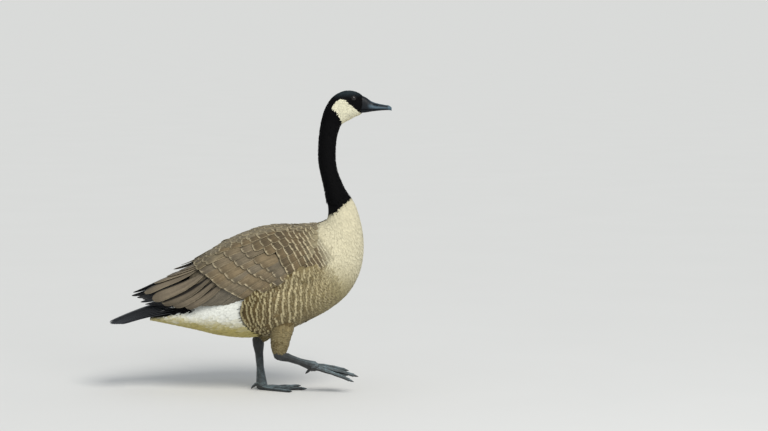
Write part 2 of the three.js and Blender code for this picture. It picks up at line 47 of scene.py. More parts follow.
# Places in this file are millimetres from the bird's own zero, as in the solids.
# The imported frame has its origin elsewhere, so the eye's place tells the shift.
EYE = {"at": (225.5, 643.0), "radius": 6.4, "sunk": 4.3, "socket": 3.2}
RIGHT, LEFT = -1, 1
SIDES = {RIGHT: "right", LEFT: "left"}
eye_low, eye_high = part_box("eye_right")
SHIFT = np.array([(eye_low.x + eye_high.x) / 2 - EYE["at"][0] / 1000, 0,
                  (eye_low.z + eye_high.z) / 2 - EYE["at"][1] / 1000])
FULL_TURN = (0, 2 * np.pi)

# The feathered body: back point and belly point (X, Z), half width and sag, from under the tail to the bill.
BODY = np.array([
    (-224, 162, -226, 151, 12, 0),
    (-196, 170, -200, 147, 30, 0.1),
    (-162, 187, -165, 140, 45, 0.15),
    (-123, 210, -121, 131, 60, 0.2),
    (-81, 258, -75, 120, 76, 0.2),
    (-35, 309, -24, 114, 88, 0.2),
    (13, 339, 29, 116, 95, 0.16),
    (59, 350, 79, 129, 97, 0.12),
    (101, 356, 125, 151, 94, 0.1),
    (134, 364, 174, 178, 85, 0.06),
    (154, 371, 216, 215, 71, 0),
    (163, 378, 242, 268, 58, 0),
    (166, 392, 247, 334, 45, 0),
    (165, 411, 231, 403, 33, 0),
    (158.5, 449, 204, 449, 23.5, 0),
    (148, 499, 188, 495, 19.5, 0),
    (148, 548, 188, 548, 18.5, 0),
    (154, 592, 197, 581, 19.5, 0),
    (163.5, 622, 207, 590, 20.5, 0),
    (180, 646, 217, 595, 21.5, 0),
    (205, 659, 227, 601, 20.5, 0.05),
    (229, 658, 239, 606, 16.5, 0.1),
    (246, 649, 246, 612, 12.5, 0.1),
], float)
LAST = len(BODY) - 1
END = 0.02  # the body's first and last stations are reached this far off, so that tangents can be taken
COAT_DEPTH = [2.0, 3, 3.5, 4, 4, 4, 4, 4, 4, 4, 4, 4, 3.6, 3, 2.4, 2, 1.8, 1.5, 1.2, 1, 1, 0.9, 0.6]
FLANK_SWELL = 8.0

# The roof that the folded wing lies on, from WING_FRONT backwards every WING_STEP.
WING_FRONT = 160
WING_STEP = 72
WING_TOP = [371, 365, 355, 325, 279, 244, 207]
WING_MIDDLE = [290, 271, 256, 235, 214, 203, 190]
WING_HALF = [72, 99, 104, 96, 74, 46, 18]
WING_RAISE = {RIGHT: 0, LEFT: 14}
# The arm under the coverts: X of its ends, degrees down from the ridge, and heights over the roof.
CORE = {"front": 166, "back": -138, "recede": 14, "highest": 9, "lowest": 104, "front_rise": 22, "rear_rise": 14,
        "top": -3.6, "bottom": -13, "edge": 8, "grid": (60, 40)}
# What the folded wing hides of the body: degrees down from the ridge, X of its ends and the length of its rise.
HIDDEN = {"ridge": 16, "front": 130, "back": -104, "length": 282}

# The bill: X, top, mouth, chin, half width above and below the mouth.
BILL = np.array([
    (238, 651, 618.4, 610, 12.6, 11),
    (253, 644.5, 618.4, 611.5, 12.4, 10.6),
    (266, 635.6, 618.6, 613.6, 11.8, 9.6),
    (280, 631, 619.4, 615.2, 11.2, 8.9),
    (294, 628.3, 620, 616.3, 10.6, 8.2),
    (304, 626, 619.4, 616.4, 8.6, 6),
    (309.5, 621.5, 617.4, 615.4, 3.6, 2.4),
], float)
BILL_GAP = 0.17  # from the mouth line to either half
NOSTRIL = {"at": (274, 627.6), "length": 11, "height": 4.4, "tilt": 14}
BILL_GRID = (110, 72)

# The feathered thigh: knee, shin and ankle, with its half depth and half width at shares of the way.
THIGH_PATH = {
    LEFT: np.array([(62, 46, 168), (36, 44, 132), (11.5, 35, 104)], float),
    RIGHT: np.array([(76, -46, 172), (66, -55, 122), (62, -56, 82)], float),
}
THIGH_SIZE = np.array([(0, 29, 24), (0.35, 25.5, 21), (0.7, 20.5, 16.5), (1, 13, 11.2)], float)

# Lines across the side view: slanting, curved, and as corners (X, Z)
COLLAR = {"x": 194, "z": 404.5, "slope": 0.84}
NECK_BACK = 110
FLANK_REAR = {"middle": 178, "top": 225, "curve": 0.0130}
FLANK_TOP = [(-60, 150), (-22, 186), (-10, 200), (26, 238), (59, 259), (97, 264), (147, 270), (175, 285), (210, 300)]
SCAPULAR_FLOOR = [(-100, 300), (-60, 306), (-20, 316), (22, 316), (46, 304), (64, 286), (78, 269), (98, 259),
                  (136, 262), (160, 272), (190, 300)]
CHEEK_PATCH = [(178.5, 622), (182, 629), (189, 637), (199.5, 642.5), (208, 641), (214, 636), (222, 628.5),
               (230, 621.5), (240, 614), (246, 609), (242, 598), (226, 582), (205, 573), (202, 589), (196.5, 604),
               (190.5, 613.5), (182, 618.5)]

# Colours, linear
BLACK = (0.0022, 0.0022, 0.0026)
# A painted bluish sheen for the top of the black head, where light falls on it
PAINTED_CROWN_SHEEN = (0.026, 0.038, 0.044)
CHEEK = (0.76, 0.73, 0.55)
CHEEK_LOW = (0.66, 0.50, 0.20)
CREAM = (0.60, 0.555, 0.395)
TAN = (0.335, 0.285, 0.150)
BROWN = (0.160, 0.118, 0.056)
UMBER = (0.105, 0.074, 0.028)
PALE_BAR = (0.46, 0.395, 0.235)
WHITE = (0.76, 0.77, 0.71)
OCHRE = (0.43, 0.355, 0.095)
MANTLE = (0.110, 0.083, 0.047)
MANTLE_WARM = (0.185, 0.135, 0.072)
COVERT = (0.175, 0.145, 0.100)
COVERT_WARM = (0.235, 0.175, 0.098)
PANEL = (0.150, 0.128, 0.092)
TERTIAL = (0.185, 0.150, 0.104)
EDGE = (0.47, 0.40, 0.265)
TAIL_BLACK = (0.010, 0.0105, 0.013)
# The tail's own black, lightened to dark grey by a painted sheen
TAIL_BLACK_WITH_SHEEN = (0.021, 0.0235, 0.028)
TAIL_RIM = (0.085, 0.092, 0.105)


# Numbers
def vec(*parts):
    return np.stack(parts, -1)


def wide(values):
    """One value or colour for each feather, ready to spread over its rows and columns."""
    return np.asarray(values)[:, None, None]


def lattice(u_range, v_range, rows, columns, ring=False):
    """Grids of u and v over their ranges; with ring the last column stops short of the first."""
    u, v = np.linspace(*u_range, rows), np.linspace(*v_range, columns, endpoint=not ring)
    return np.meshgrid(u, v, indexing="ij")


def smooth(low, high, x):
    f = np.clip((x - low) / (high - low), 0, 1)
    return f * f * (3 - 2 * f)


def bell(x, width, power=2):
    return np.exp(-(x / width) ** power)


def signed_power(x, power):
    return np.sign(x) * np.abs(x) ** power


def mix(a, b, f):
    return np.asarray(a) * (1 - f) + np.asarray(b) * f


def unit(v):
    return v / np.maximum(np.linalg.norm(v, axis=-1, keepdims=True), 1e-9)


def gauss(*shape):
    return RNG.normal(0, 1, shape)


def varied(share, count):
    """Factors about 1, one for each of count feathers."""
    return 1 + share * gauss(count, 1)


def height_at(line, x):
    return np.interp(x, *zip(*line))


def spline(values, t):
    """Smooth curve through evenly spaced values, at t from 0 to the last index."""
    values = np.asarray(values, float)
    last = len(values) - 1
    k = np.clip(np.floor(t).astype(int), 0, last - 1)
    f = t - k
    a, b, c, d = (values[np.clip(k + i, 0, last)] for i in (-1, 0, 1, 2))
    leave, arrive = (c - a) / 2, (d - b) / 2
    return b + f * (leave + f * (3 * (c - b) - 2 * leave - arrive + f * (2 * (b - c) + leave + arrive)))


def splines(table, t):
    return (spline(column, t) for column in table.T)


# Surfaces
def body_point(t, angle):
    """Plumage surface: t counts stations, angle runs from the back (0) over the left side to the belly (pi)."""
    back_x, back_z, belly_x, belly_z, half, sag = splines(BODY, t)
    out = np.sin(angle)
    level = (np.cos(angle) - sag * out * out) / 2
    return vec((back_x + belly_x) / 2 + (back_x - belly_x) * level, half * signed_power(out, 0.92),
               (back_z + belly_z) / 2 + (back_z - belly_z) * level)


def wing_roof(x):
    t = (WING_FRONT - x) / WING_STEP
    return t, spline(WING_TOP, t), spline(WING_MIDDLE, t), spline(WING_HALF, t)


def ridge_bulge(x, sign):
    """How far the wing's ridge stands over its roof: most on the left behind the middle, sunk at the shoulder."""
    return (4 + 3 * sign) * bell(x + 88, 42) - 5 * smooth(55, 110, x)


def wing_point(sign):
    def point(x, angle):
        t, top, middle, half = wing_roof(x)
        lifted = WING_RAISE[sign] * smooth(2.5, 6, t) + ridge_bulge(x, sign) * np.cos(angle) ** 2
        return vec(x + 0 * angle, sign * half * np.sin(angle), middle + (top - middle) * np.cos(angle) + lifted)
    return point


def on_roof(places):
    """X and the angle down from the wing's ridge at which its roof, before any raise, is at X, Z."""
    x, z = places.T
    _, top, middle, _ = wing_roof(x)
    return vec(x, np.arccos(np.clip((z - middle) / (top - middle), -0.97, 0.97)))


def thigh_point(sign):
    path = THIGH_PATH[sign]

    def point(u, angle):
        s = 1 - u
        centre, ahead, behind = (vec(*splines(path, place)) for place in (
            2 * s, np.clip(2 * s + 0.05, 0, 2), np.clip(2 * s - 0.05, 0, 2)))
        along = unit(ahead - behind)
        forward = unit(np.array([1.0, 0, 0]) - along[..., :1] * along)
        outward = np.cross(along, forward)
        depth, width = (np.interp(s, THIGH_SIZE[:, 0], THIGH_SIZE[:, i]) for i in (1, 2))
        return (centre + forward * (depth * np.cos(angle))[..., None]
                + outward * (width * np.sin(angle))[..., None])
    return point


def bill_point(t, angle):
    """Upper half of the bill: t counts stations, angle runs from the ridge to the mouth on either side."""
    x, top, mouth, _, half, _ = splines(BILL, t)
    return vec(x + 0 * angle, half * signed_power(np.sin(angle), 0.8),
               mouth + (top - mouth) * np.maximum(np.cos(angle), 0) ** 0.85)


def flank_point(t, angle):
    """The body with its flank plumage swollen over the lower front edge of the folded wing."""
    p, normal, _, _ = SKIN.frame(t, angle)
    x, above = p[..., 0], p[..., 2] - height_at(FLANK_TOP, p[..., 0])
    near = smooth(-30, -5, above) * (1 - smooth(10, 40, above))
    along = smooth(-50, -5, x) * (1 - smooth(120, 165, x))
    return p + normal * (FLANK_SWELL * near * along)[..., None]


class Surface:
    """A surface of two numbers, with its outward normal and its tangents."""

    def __init__(self, point, step, flip=1):
        self.point = point
        self.step = step
        self.flip = flip

    def frame(self, u, v):
        du, dv = self.step
        tu = (self.point(u + du, v) - self.point(u - du, v)) / (2 * du)
        tv = (self.point(u, v + dv) - self.point(u, v - dv)) / (2 * dv)
        return self.point(u, v), unit(np.cross(tu, tv)) * self.flip, tu, tv


SKIN = Surface(body_point, (0.02, 0.01))
FLANK = Surface(flank_point, (0.02, 0.01))
WING = {side: Surface(wing_point(side), (1.0, 0.01), side) for side in SIDES}
THIGH = {side: Surface(thigh_point(side), (0.01, 0.02)) for side in SIDES}
BILL_TOP = Surface(bill_point, (0.02, 0.02))


# Meshes
def add_object(name, data):
    thing = bpy.data.objects.new(name, data)
    bpy.context.scene.collection.objects.link(thing)
    return thing


def make_object(name, verts, faces, material):
    """A mesh piece from millimetres, riding on the model's one body."""
    mesh = bpy.data.meshes.new(name)
    verts = np.asarray(verts, float).reshape(-1, 3) / 1000 + SHIFT
    faces = np.asarray(faces, np.int32)
    count, sides = faces.shape
    mesh.vertices.add(len(verts))
    mesh.vertices.foreach_set("co", verts.ravel())
    mesh.loops.add(faces.size)
    mesh.loops.foreach_set("vertex_index", faces.ravel())
    mesh.polygons.add(count)
    mesh.polygons.foreach_set("loop_start", np.arange(count, dtype=np.int32) * sides)
    mesh.polygons.foreach_set("loop_total", np.full(count, sides, np.int32))
    mesh.polygons.foreach_set("use_smooth", np.ones(count, bool))
    mesh.update(calc_edges=True)
    mesh.validate()
    mesh.materials.append(material)
    piece = add_object(name, mesh)
    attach(piece, "root")
    return piece


def set_uv(piece, name, per_vertex):
    mesh = piece.data
    index = np.empty(len(mesh.loops), np.int32)
    mesh.loops.foreach_get("vertex_index", index)
    layer = mesh.uv_layers.new(name=name)
    layer.data.foreach_set("uv", np.asarray(per_vertex, np.float32).reshape(-1, 2)[index].ravel())


def set_colour(piece, name, per_vertex, alpha=1.0):
    data = np.empty((len(piece.data.vertices), 4), np.float32)
    data[:, :3] = np.reshape(per_vertex, (-1, 3))
    data[:, 3] = alpha
    piece.data.attributes.new(name, "FLOAT_COLOR", "POINT").data.foreach_set("color", data.ravel())


def repeat_faces(quads, count, points):
    """The faces of one grid, for count grids of so many points in one vertex list."""
    return (quads[None] + (np.arange(count) * points)[:, None, None]).reshape(-1, 4)


def grid_faces(count, rows, columns, closed=False):
    """Quads over count grids of rows x columns points; closed wraps the columns."""
    i, j = np.meshgrid(np.arange(rows - 1), np.arange(columns if closed else columns - 1), indexing="ij")
    k = (j + 1) % columns
    quads = vec(i * columns + j, (i + 1) * columns + j, (i + 1) * columns + k, i * columns + k).reshape(-1, 4)
    return repeat_faces(quads, count, rows * columns)


def close_plates(count, rows, columns):
    """Quads of closed plates whose ring of points runs over the top face and back under it."""
    around = 2 * columns
    caps = [[row * around + i for i in (k, k + 1, around - 2 - k, around - 1 - k)][::turn]
            for row, turn in ((0, 1), (rows - 1, -1)) for k in range(columns - 1)]
    quads = np.concatenate([grid_faces(1, rows, around, closed=True), caps])
    return repeat_faces(quads, count, rows * around)


def tube_mesh(rings):
    """Closed mesh of triangles over rings (n, sides, 3), with a middle point at either end."""
    n, sides, _ = rings.shape
    verts = np.concatenate([rings.reshape(-1, 3), rings[:1].mean(1), rings[-1:].mean(1)])
    k = np.arange(sides)
    first = vec(np.full(sides, n * sides), k, (k + 1) % sides)
    last = vec(np.full(sides, n * sides + 1), (n - 1) * sides + (k + 1) % sides, (n - 1) * sides + k)
    quads = grid_faces(1, n, sides, closed=True)
    return verts, np.concatenate([quads[:, [0, 1, 2]], quads[:, [0, 2, 3]], first, last])


# Rows and columns of points on a feather: from root to tip and from side to side
VANE_COLUMNS = np.array([-1, -0.8, -0.6, -0.3, -0.09, 0.09, 0.4, 1])
VANE_ROWS = np.array([0, 0.12, 0.28, 0.45, 0.6, 0.72, 0.82, 0.89, 0.94, 0.975, 1])
BAR_COLUMNS = np.array([-1, -0.5, 0, 0.5, 1.0])
BAR_ROWS = np.array([0, 0.35, 0.62, 0.8, 0.9, 0.96, 1])
TUFT_COLUMNS = np.array([-1.0, 0, 1])
TUFT_ROWS = np.array([0, 0.4, 0.72, 0.92, 1])
TINY_ROWS = np.array([0, 0.45, 0.8, 1])
ROOT_WIDTH = 0.45
SHAFT_RISE, SHAFT_WIDTH = 0.3, 0.14
PLATE = 0.5  # thickness of a wing or tail feather
# On the bake unwrap: the share of its cell that a plate's top face takes, where its under face starts, and the
# margin; and the size of a soft feather.
CELL_SHARE, CELL_UNDER, CELL_MARGIN, TUFT_SHARE = np.array([0.42, 0.94]), 0.47, 0.01, 0.003
# Where across a plate its painted shadow, on the side under the next feather, begins, and over how much it fades in,
# unless the row says where
SHADOW_AT, SHADOW_FADE, SHADOW_FADE_GIVEN = -0.65, 0.35, 0.12
SCATTER_LINES = 400


def outline(s, point, square=2.0):
    """Share of a feather's width at s along it: narrow root, full middle, round tip from point on."""
    body = mix(ROOT_WIDTH, 1, smooth(0, 0.4, s))
    beyond = np.clip((s - point) / (1 - point), 0, 1)
    return body * np.clip(1 - beyond ** square, 0.012, 1) ** (1 / square)


def vane_map(count, rows, columns):
    """Grids of the rows and columns, and each point's place across and along its feather, from 0 to 1."""
    s, c = np.meshgrid(rows, columns, indexing="ij")
    return s, c, vec(c / 2 + 0.5, s)[None].repeat(count, 0)


def dress(piece, local, bake, shade, look):
    """Unwraps and the look of feathers: base and rim colours, and marks with each feather's random seed."""
    count, rows, columns, _ = local.shape
    set_uv(piece, "Vane", local)
    set_uv(piece, "OFBake", bake)
    base, rim, mark = (wide(values) for values in look)
    seeds = RNG.uniform(0, 1, count).repeat(rows * columns)
    # The base colours are multiplied by the painted shade given for each point
    for name, values, alpha in (("Base", base * shade[..., None], 1.0), ("Rim", rim, 1.0), ("Mark", mark, seeds)):
        set_colour(piece, name, np.broadcast_to(values, (count, rows, columns, 3)), alpha)
    return piece


def feather_piece(name, points, rows, columns, look, root, material, places):
    """Feathers as sheets: points (n, rows, columns, 3), their look, how dark the painted shade at the root is, and
    places on an unwrap.
    """
    count = len(points)
    piece = make_object(name, points, grid_faces(count, len(rows), len(columns)), material)
    s, _, local = vane_map(count, rows, columns)
    low, high = places.min(0), places.max(0)
    spread = CELL_MARGIN + 0.97 * (places - low) / np.maximum(high - low, 1e-6)
    return dress(piece, local, wide(spread) + local * TUFT_SHARE, mix(root, 1.0, smooth(0, 0.8, s)), look)


def plate_piece(name, top, look, thickness, material, shadow_factor=1.0, shadow_at=None):
    """Closed plates from their top faces, painted darker towards the root; past a place across them a painted shadow
    darkens the side that lies under the next feather, by the given factor.
    """
    count, rows, columns, _ = top.shape
    middle = columns // 2
    down = unit(np.cross(top[:, -1:, middle] - top[:, :1, middle], top[:, 4:5, -1] - top[:, 4:5, 0]))
    under = top + down[:, :, None] * thickness
    ring = np.concatenate([top, under[:, :, ::-1]], 2)
    piece = make_object(name, ring, close_plates(count, rows, columns), material)
    s, c, local = vane_map(count, VANE_ROWS, np.concatenate([VANE_COLUMNS, VANE_COLUMNS[::-1]]))
    side = math.ceil(math.sqrt(count))
    cells = vec(np.arange(count) % side, np.arange(count) // side) / side
    spread = local * CELL_SHARE / side
    spread[:, :, columns:, 0] += CELL_UNDER / side
    fade = SHADOW_FADE if shadow_at is None else SHADOW_FADE_GIVEN
    at = wide(np.broadcast_to(SHADOW_AT if shadow_at is None else shadow_at, count))
    # Painted shade: darker towards the root, and a painted shadow on the side that lies under the next feather
    shade = mix(0.8, 1.0, smooth(0.2, 0.8, s)) * mix(1, shadow_factor, smooth(at + fade, at - fade, c))
    return dress(piece, local, wide(cells) + spread + CELL_MARGIN / side, shade, look)


def tufts(surface, u, v, length, width, turn, base, rise, rows, columns, from_tip=False, point=0.55, cup=0.10,
          square=2.0):
    """Feathers that lie on a surface towards falling u, turned by an angle towards rising v."""
    _, normal, tu, tv = surface.frame(u, v)
    mu, mv = np.linalg.norm(tu, axis=-1), np.maximum(np.linalg.norm(tv, axis=-1), 1e-3)
    s, c = rows[None, :, None], columns[None, None, :]
    half = wide(width / 2) * outline(s, point, square) * c
    run = wide(length) * (s - (1 if from_tip else 0))
    cos, sin = wide(np.cos(turn)), wide(np.sin(turn))
    uu = wide(u) + (-cos * run + sin * half) / wide(mu)
    vv = wide(v) + (sin * run + cos * half) / wide(mv)
    if surface in (SKIN, FLANK):
        uu = np.clip(uu, 0.03, LAST - 0.03)
    height = wide(base) + wide(rise) * s ** 1.3 - cup * wide(width) * c * c * smooth(0, 0.5, s)
    return surface.point(uu, vv) + wide(normal) * height[..., None]


def thin(points, gap):
    """Indices of points that keep the gap from all that were taken before them."""
    cells, taken = {}, []
    around = [(a, b, c) for a in (-1, 0, 1) for b in (-1, 0, 1) for c in (-1, 0, 1)]
    for i, (key, place) in enumerate(zip(np.floor(points / gap).astype(int).tolist(), points.tolist())):
        near = (q for a, b, c in around for q in cells.get((key[0] + a, key[1] + b, key[2] + c), ()))
        if all((q[0] - place[0]) ** 2 + (q[1] - place[1]) ** 2 + (q[2] - place[2]) ** 2 >= gap * gap for q in near):
            cells.setdefault(tuple(key), []).append(place)
            taken.append(i)
    return taken


def scatter(surface, u_range, v_range, spacing, keep, tries):
    """Roots spread evenly: random places at least spacing apart where keep(point, u, v) holds."""
    spans = (u_range, v_range)
    _, _, tu, tv = surface.frame(*lattice(*spans, SCATTER_LINES, SCATTER_LINES))
    weight = np.linalg.norm(np.cross(tu, tv), axis=-1) / (spacing * spacing)
    peak = weight.max()
    draw = int(peak * ((u_range[1] - u_range[0]) * (v_range[1] - v_range[0])) * tries)
    places = [RNG.uniform(*span, draw) for span in spans]
    cell = tuple(np.round((place - low) / (high - low) * (SCATTER_LINES - 1)).astype(int)
                 for place, (low, high) in zip(places, spans))
    chosen = RNG.uniform(0, peak, draw) < weight[cell]
    u, v = (place[chosen] for place in places)
    p = surface.point(u, v)
    good = keep(p, u, v)
    u, v, p = u[good], v[good], p[good]
    taken = thin(p, spacing)
    return u[taken], v[taken], p[taken]


def nearest(u_range, v_range, rows, columns, x, z, side=LEFT):
    """Of a lattice on one side of the body, the station and angle that show nearest to X, Z from the side."""
    t, a = lattice(u_range, v_range, rows, columns)
    grid = body_point(t, a * side)
    pick = [np.argmin((grid[..., 0] - px) ** 2 + (grid[..., 2] - pz) ** 2) for px, pz in zip(x, z)]
    return t.ravel()[pick], a.ravel()[pick] * side


def locate(x, z, side):
    """Station and angle on one side of the body that show at X, Z from the side."""
    t, a = nearest((1, 15), (0.12, 3.0), 180, 70, x, z, side)
    for _ in range(3):
        p, _, tu, tv = SKIN.frame(t, a)
        ex, ez = x - p[:, 0], z - p[:, 2]
        det = tu[:, 0] * tv[:, 2] - tv[:, 0] * tu[:, 2]
        det = np.where(np.abs(det) < 1e-3, 1e-3, det)
        t = t + np.clip((ex * tv[:, 2] - ez * tv[:, 0]) / det, -0.3, 0.3)
        a = a + np.clip((tu[:, 0] * ez - tu[:, 2] * ex) / det, -0.2, 0.2)
    return t, a


# Materials
class Nodes:
    """Short calls for a material's node tree."""

    def __init__(self, name):
        self.material = bpy.data.materials.new(name)
        self.material.use_nodes = True
        self.tree = self.material.node_tree
        self.shader = self.tree.nodes["Principled BSDF"]

    def feed(self, socket, value):
        if isinstance(value, bpy.types.NodeSocket):
            self.tree.links.new(value, socket)
        else:
            socket.default_value = (*value, 1) if socket.type == "RGBA" else value

    def put(self, kind, inputs=(), **settings):
        """A node's outputs, from its inputs by place or by name, each a socket or a plain value."""
        node = self.tree.nodes.new("ShaderNode" + kind)
        for key, value in settings.items():
            setattr(node, key, value)
        for key, value in (inputs.items() if isinstance(inputs, dict) else enumerate(inputs)):
            self.feed(node.inputs[key], value)
        return node.outputs

    def math(self, operation, a, b=0.0, c=0.0, clamp=False):
        return self.put("Math", (a, b, c), operation=operation, use_clamp=clamp)[0]

    def times(self, a, b, clamp=False):
        return self.math("MULTIPLY", a, b, clamp=clamp)

    def ramp(self, value, low, high, to_low=0.0, to_high=1.0):
        return self.put("MapRange", (value, low, high, to_low, to_high), interpolation_type="SMOOTHSTEP")[0]

    def mix(self, factor, a, b, blend="MIX"):
        return self.put("Mix", {0: factor, 6: a, 7: b}, data_type="RGBA", blend_type=blend)[2]

    def shade(self, colour, value):
        """Colour times a number."""
        return self.mix(1.0, colour, self.put("CombineColor", (value,) * 3)[0], "MULTIPLY")

    def coordinates(self, stretch=None):
        place = self.put("TexCoord")["Object"]
        return place if stretch is None else self.put("Mapping", {"Vector": place, "Scale": stretch})["Vector"]

    def noise(self, scale, detail=3.0, stretch=None):
        return self.put("TexNoise", {"Scale": scale, "Detail": detail, "Vector": self.coordinates(stretch)})["Fac"]

    def spots(self, scale, detail, low, high):
        """Noise spread between two values."""
        return self.ramp(self.noise(scale, detail), 0.3, 0.7, low, high)

    def attribute(self, name):
        return self.put("Attribute", attribute_name=name)["Color"]

    def height(self, vector):
        return self.put("SeparateXYZ", (vector,))[2]

    def finish(self, colour, bump=None, **values):
        """The material, from its colour, its bump as (height, strength, distance) and the shader's other values."""
        if bump:
            values["Normal"] = self.put("Bump", dict(zip(("Height", "Strength", "Distance"), bump)))[0]
        for key, value in {"Base_Color": colour, **values}.items():
            self.feed(self.shader.inputs[key.replace("_", " ")], value)
        return self.material


def plumage_material(name, roughness, specular, barbs, shaft=0.0, dusk=0.0, streak=0.15, sheen=0.05, relief=0.3,
                     soft=0.02):
    """Feathers: own colour, pale rim by the Mark attribute (tip start, side start, strength), shaft and streaks."""
    n = Nodes(name)
    vane_x, along, _ = n.put("SeparateXYZ", (n.put("UVMap", uv_map="Vane")[0],))
    across = n.math("ABSOLUTE", n.math("MULTIPLY_ADD", vane_x, 2.0, -1.0))
    marks = n.put("Attribute", attribute_name="Mark")
    tip_start, side_start, strength = n.put("SeparateColor", (marks["Color"],))
    base = n.attribute("Base")
    own = n.put("CombineXYZ", (n.times(vane_x, 9.0), n.times(along, 1.6), n.times(marks["Alpha"], 90.0)))
    lines = n.put("TexNoise", {"Scale": 1, "Vector": own[0]})["Fac"]
    wobble = n.math("ADD", n.math("MULTIPLY_ADD", n.noise(900, 2), 0.06, -0.03),
                    n.math("MULTIPLY_ADD", lines, 0.12, -0.06))
    tip_at = n.math("SUBTRACT", n.math("ADD", along, wobble), tip_start)
    side_at = n.math("SUBTRACT", n.math("ADD", across, wobble), side_start)
    rim = n.math("MAXIMUM", n.ramp(tip_at, -soft, 0.04), n.ramp(side_at, -0.04, 0.10))
    colour = base
    if dusk:
        colour = n.shade(colour, n.math("SUBTRACT", 1.0, n.times(n.ramp(tip_at, -0.30, -0.04), dusk)))
    colour = n.mix(n.times(rim, strength, clamp=True), colour, n.attribute("Rim"))
    slant = n.math("MULTIPLY_ADD", along, 1.8, n.times(across, -1.0))
    barb = n.ramp(n.math("SINE", n.times(slant, barbs)), -1, 1)
    colour = n.shade(colour, n.ramp(barb, 0, 1, 0.94, 1.04))
    colour = n.shade(colour, n.ramp(lines, 0.3, 0.7, 1 - streak, 1 + streak))
    colour = n.shade(colour, n.spots(170, 4, 0.92, 1.07))
    if shaft:
        dark = n.mix(1.0, base, (0.4, 0.37, 0.35), "MULTIPLY")
        colour = n.mix(n.ramp(across, 0.02, 0.07, shaft, 0.0), colour, dark)
    relief_height = n.math("ADD", n.times(barb, 0.6), n.times(n.noise(2500, 2), 0.8))
    return n.finish(colour, (relief_height, relief, 0.0004), Roughness=roughness, Sheen_Weight=sheen,
                    Sheen_Roughness=0.5, Specular_IOR_Level=specular)


def skin_material():
    n = Nodes("under_plumage")
    colour = n.shade(n.attribute("Base"), n.ramp(n.noise(240, 4), 0.35, 0.65, 0.6, 1.0))
    return n.finish(colour, (n.noise(1600, 5), 0.6, 0.0008), Roughness=0.9, Specular_IOR_Level=0.1)


def horn_material():
    """Bill: blue-black horn with a painted pale bluish sheen by the Base attribute and fine lengthwise wear."""
    n = Nodes("bill_horn")
    grain = n.noise(260, 5, (1, 4, 4))
    rough = n.math("ADD", grain, n.times(n.noise(1800, 3), 0.35))
    return n.finish(n.shade(n.attribute("Base"), n.ramp(grain, 0.3, 0.7, 0.7, 1.25)), (rough, 0.2, 0.0006),
                    Roughness=n.spots(180, 4, 0.42, 0.6), Specular_IOR_Level=0.2)


def leg_material():
    """Blackish leg skin in small rounded scales, with a painted blue-grey sheen on what faces up low on the leg."""
    n = Nodes("leg_scales")
    cells = n.put("TexVoronoi", {"Scale": 420, "Vector": n.coordinates((1, 1, 0.75))}, feature="DISTANCE_TO_EDGE")
    seam = n.ramp(cells["Distance"], 0.0, 0.12)
    tint = n.ramp(n.noise(70, 4), 0.35, 0.7)
    facing_up = n.ramp(n.height(n.put("NewGeometry")["Normal"]), -0.15, 0.75)
    # Painted sheen: blue-grey where the surface faces up, low on the leg
    painted_sheen = n.times(facing_up, n.ramp(n.height(n.coordinates()), 0.095, 0.055))
    dark = n.mix(tint, (0.010, 0.012, 0.013), (0.032, 0.036, 0.037))
    pale = n.mix(tint, (0.085, 0.112, 0.120), (0.190, 0.260, 0.290))
    relief = n.math("ADD", seam, n.times(n.noise(900, 3), 0.4))
    return n.finish(n.mix(seam, (0.030, 0.031, 0.030), n.mix(painted_sheen, dark, pale)), (relief, 0.5, 0.0007),
                    Roughness=n.spots(240, 3, 0.34, 0.55), Specular_IOR_Level=0.45)


def eye_material():
    """Dark brown iris round a black pupil, both wet, by how far the Gaze attribute points away."""
    n = Nodes("eye_wet")
    out = n.put("VectorMath", (n.attribute("Gaze"),), operation="LENGTH")["Value"]
    iris = n.mix(n.noise(1400, 3), (0.004, 0.0025, 0.0015), (0.012, 0.007, 0.004))
    colour = n.mix(n.ramp(out, 0.40, 0.46), (0.0015, 0.0015, 0.0015), iris)
    return n.finish(n.mix(n.ramp(out, 0.72, 0.82), colour, (0.004, 0.004, 0.004)), Roughness=0.06,
                    Specular_IOR_Level=0.5)


def lid_material():
    n = Nodes("eyelid_skin")
    return n.finish(n.mix(n.noise(900, 4), (0.003, 0.003, 0.0035), (0.010, 0.010, 0.011)),
                    (n.noise(1500, 4), 0.5, 0.0004), Roughness=0.6, Specular_IOR_Level=0.3)


def floor_material():
    n = Nodes("studio_floor")
    return n.finish(n.mix(n.noise(3, 2), (0.70, 0.70, 0.69), (0.72, 0.72, 0.71)), Roughness=1.0,
                    Specular_IOR_Level=0.0)


DOWN = plumage_material("soft_plumage", 0.9, 0.12, 22, streak=0.05, relief=0.15)
BARRED = plumage_material("flank_plumage", 0.85, 0.15, 40, dusk=0.30, streak=0.22, soft=0.07)
VELVET = plumage_material("black_plumage_short", 0.7, 0.07, 20, sheen=0.0)
VANES = plumage_material("wing_vanes", 0.7, 0.2, 90, shaft=0.25, dusk=0.30, streak=0.16)
QUILLS = plumage_material("flight_quills", 0.5, 0.4, 150, shaft=0.35, streak=0.12, sheen=0.0)
UNDER = skin_material()


# Markings
def inside(polygon, x, z):
    """Whether side-view points lie in a polygon of (X, Z) corners."""
    hit = np.zeros(np.shape(x), bool)
    for (x1, z1), (x2, z2) in zip(polygon, polygon[1:] + polygon[:1]):
        hit ^= ((z1 > z) != (z2 > z)) & (x < (x2 - x1) * (z - z1) / (z2 - z1 + 1e-9) + x1)
    return hit


def near_eye(p):
    return np.hypot(p[..., 0] - EYE["at"][0], p[..., 2] - EYE["at"][1])


def collar(p):
    """Height over the slanting edge between black neck and pale breast."""
    return p[..., 2] - (COLLAR["z"] + COLLAR["slope"] * (p[..., 0] - COLLAR["x"]))


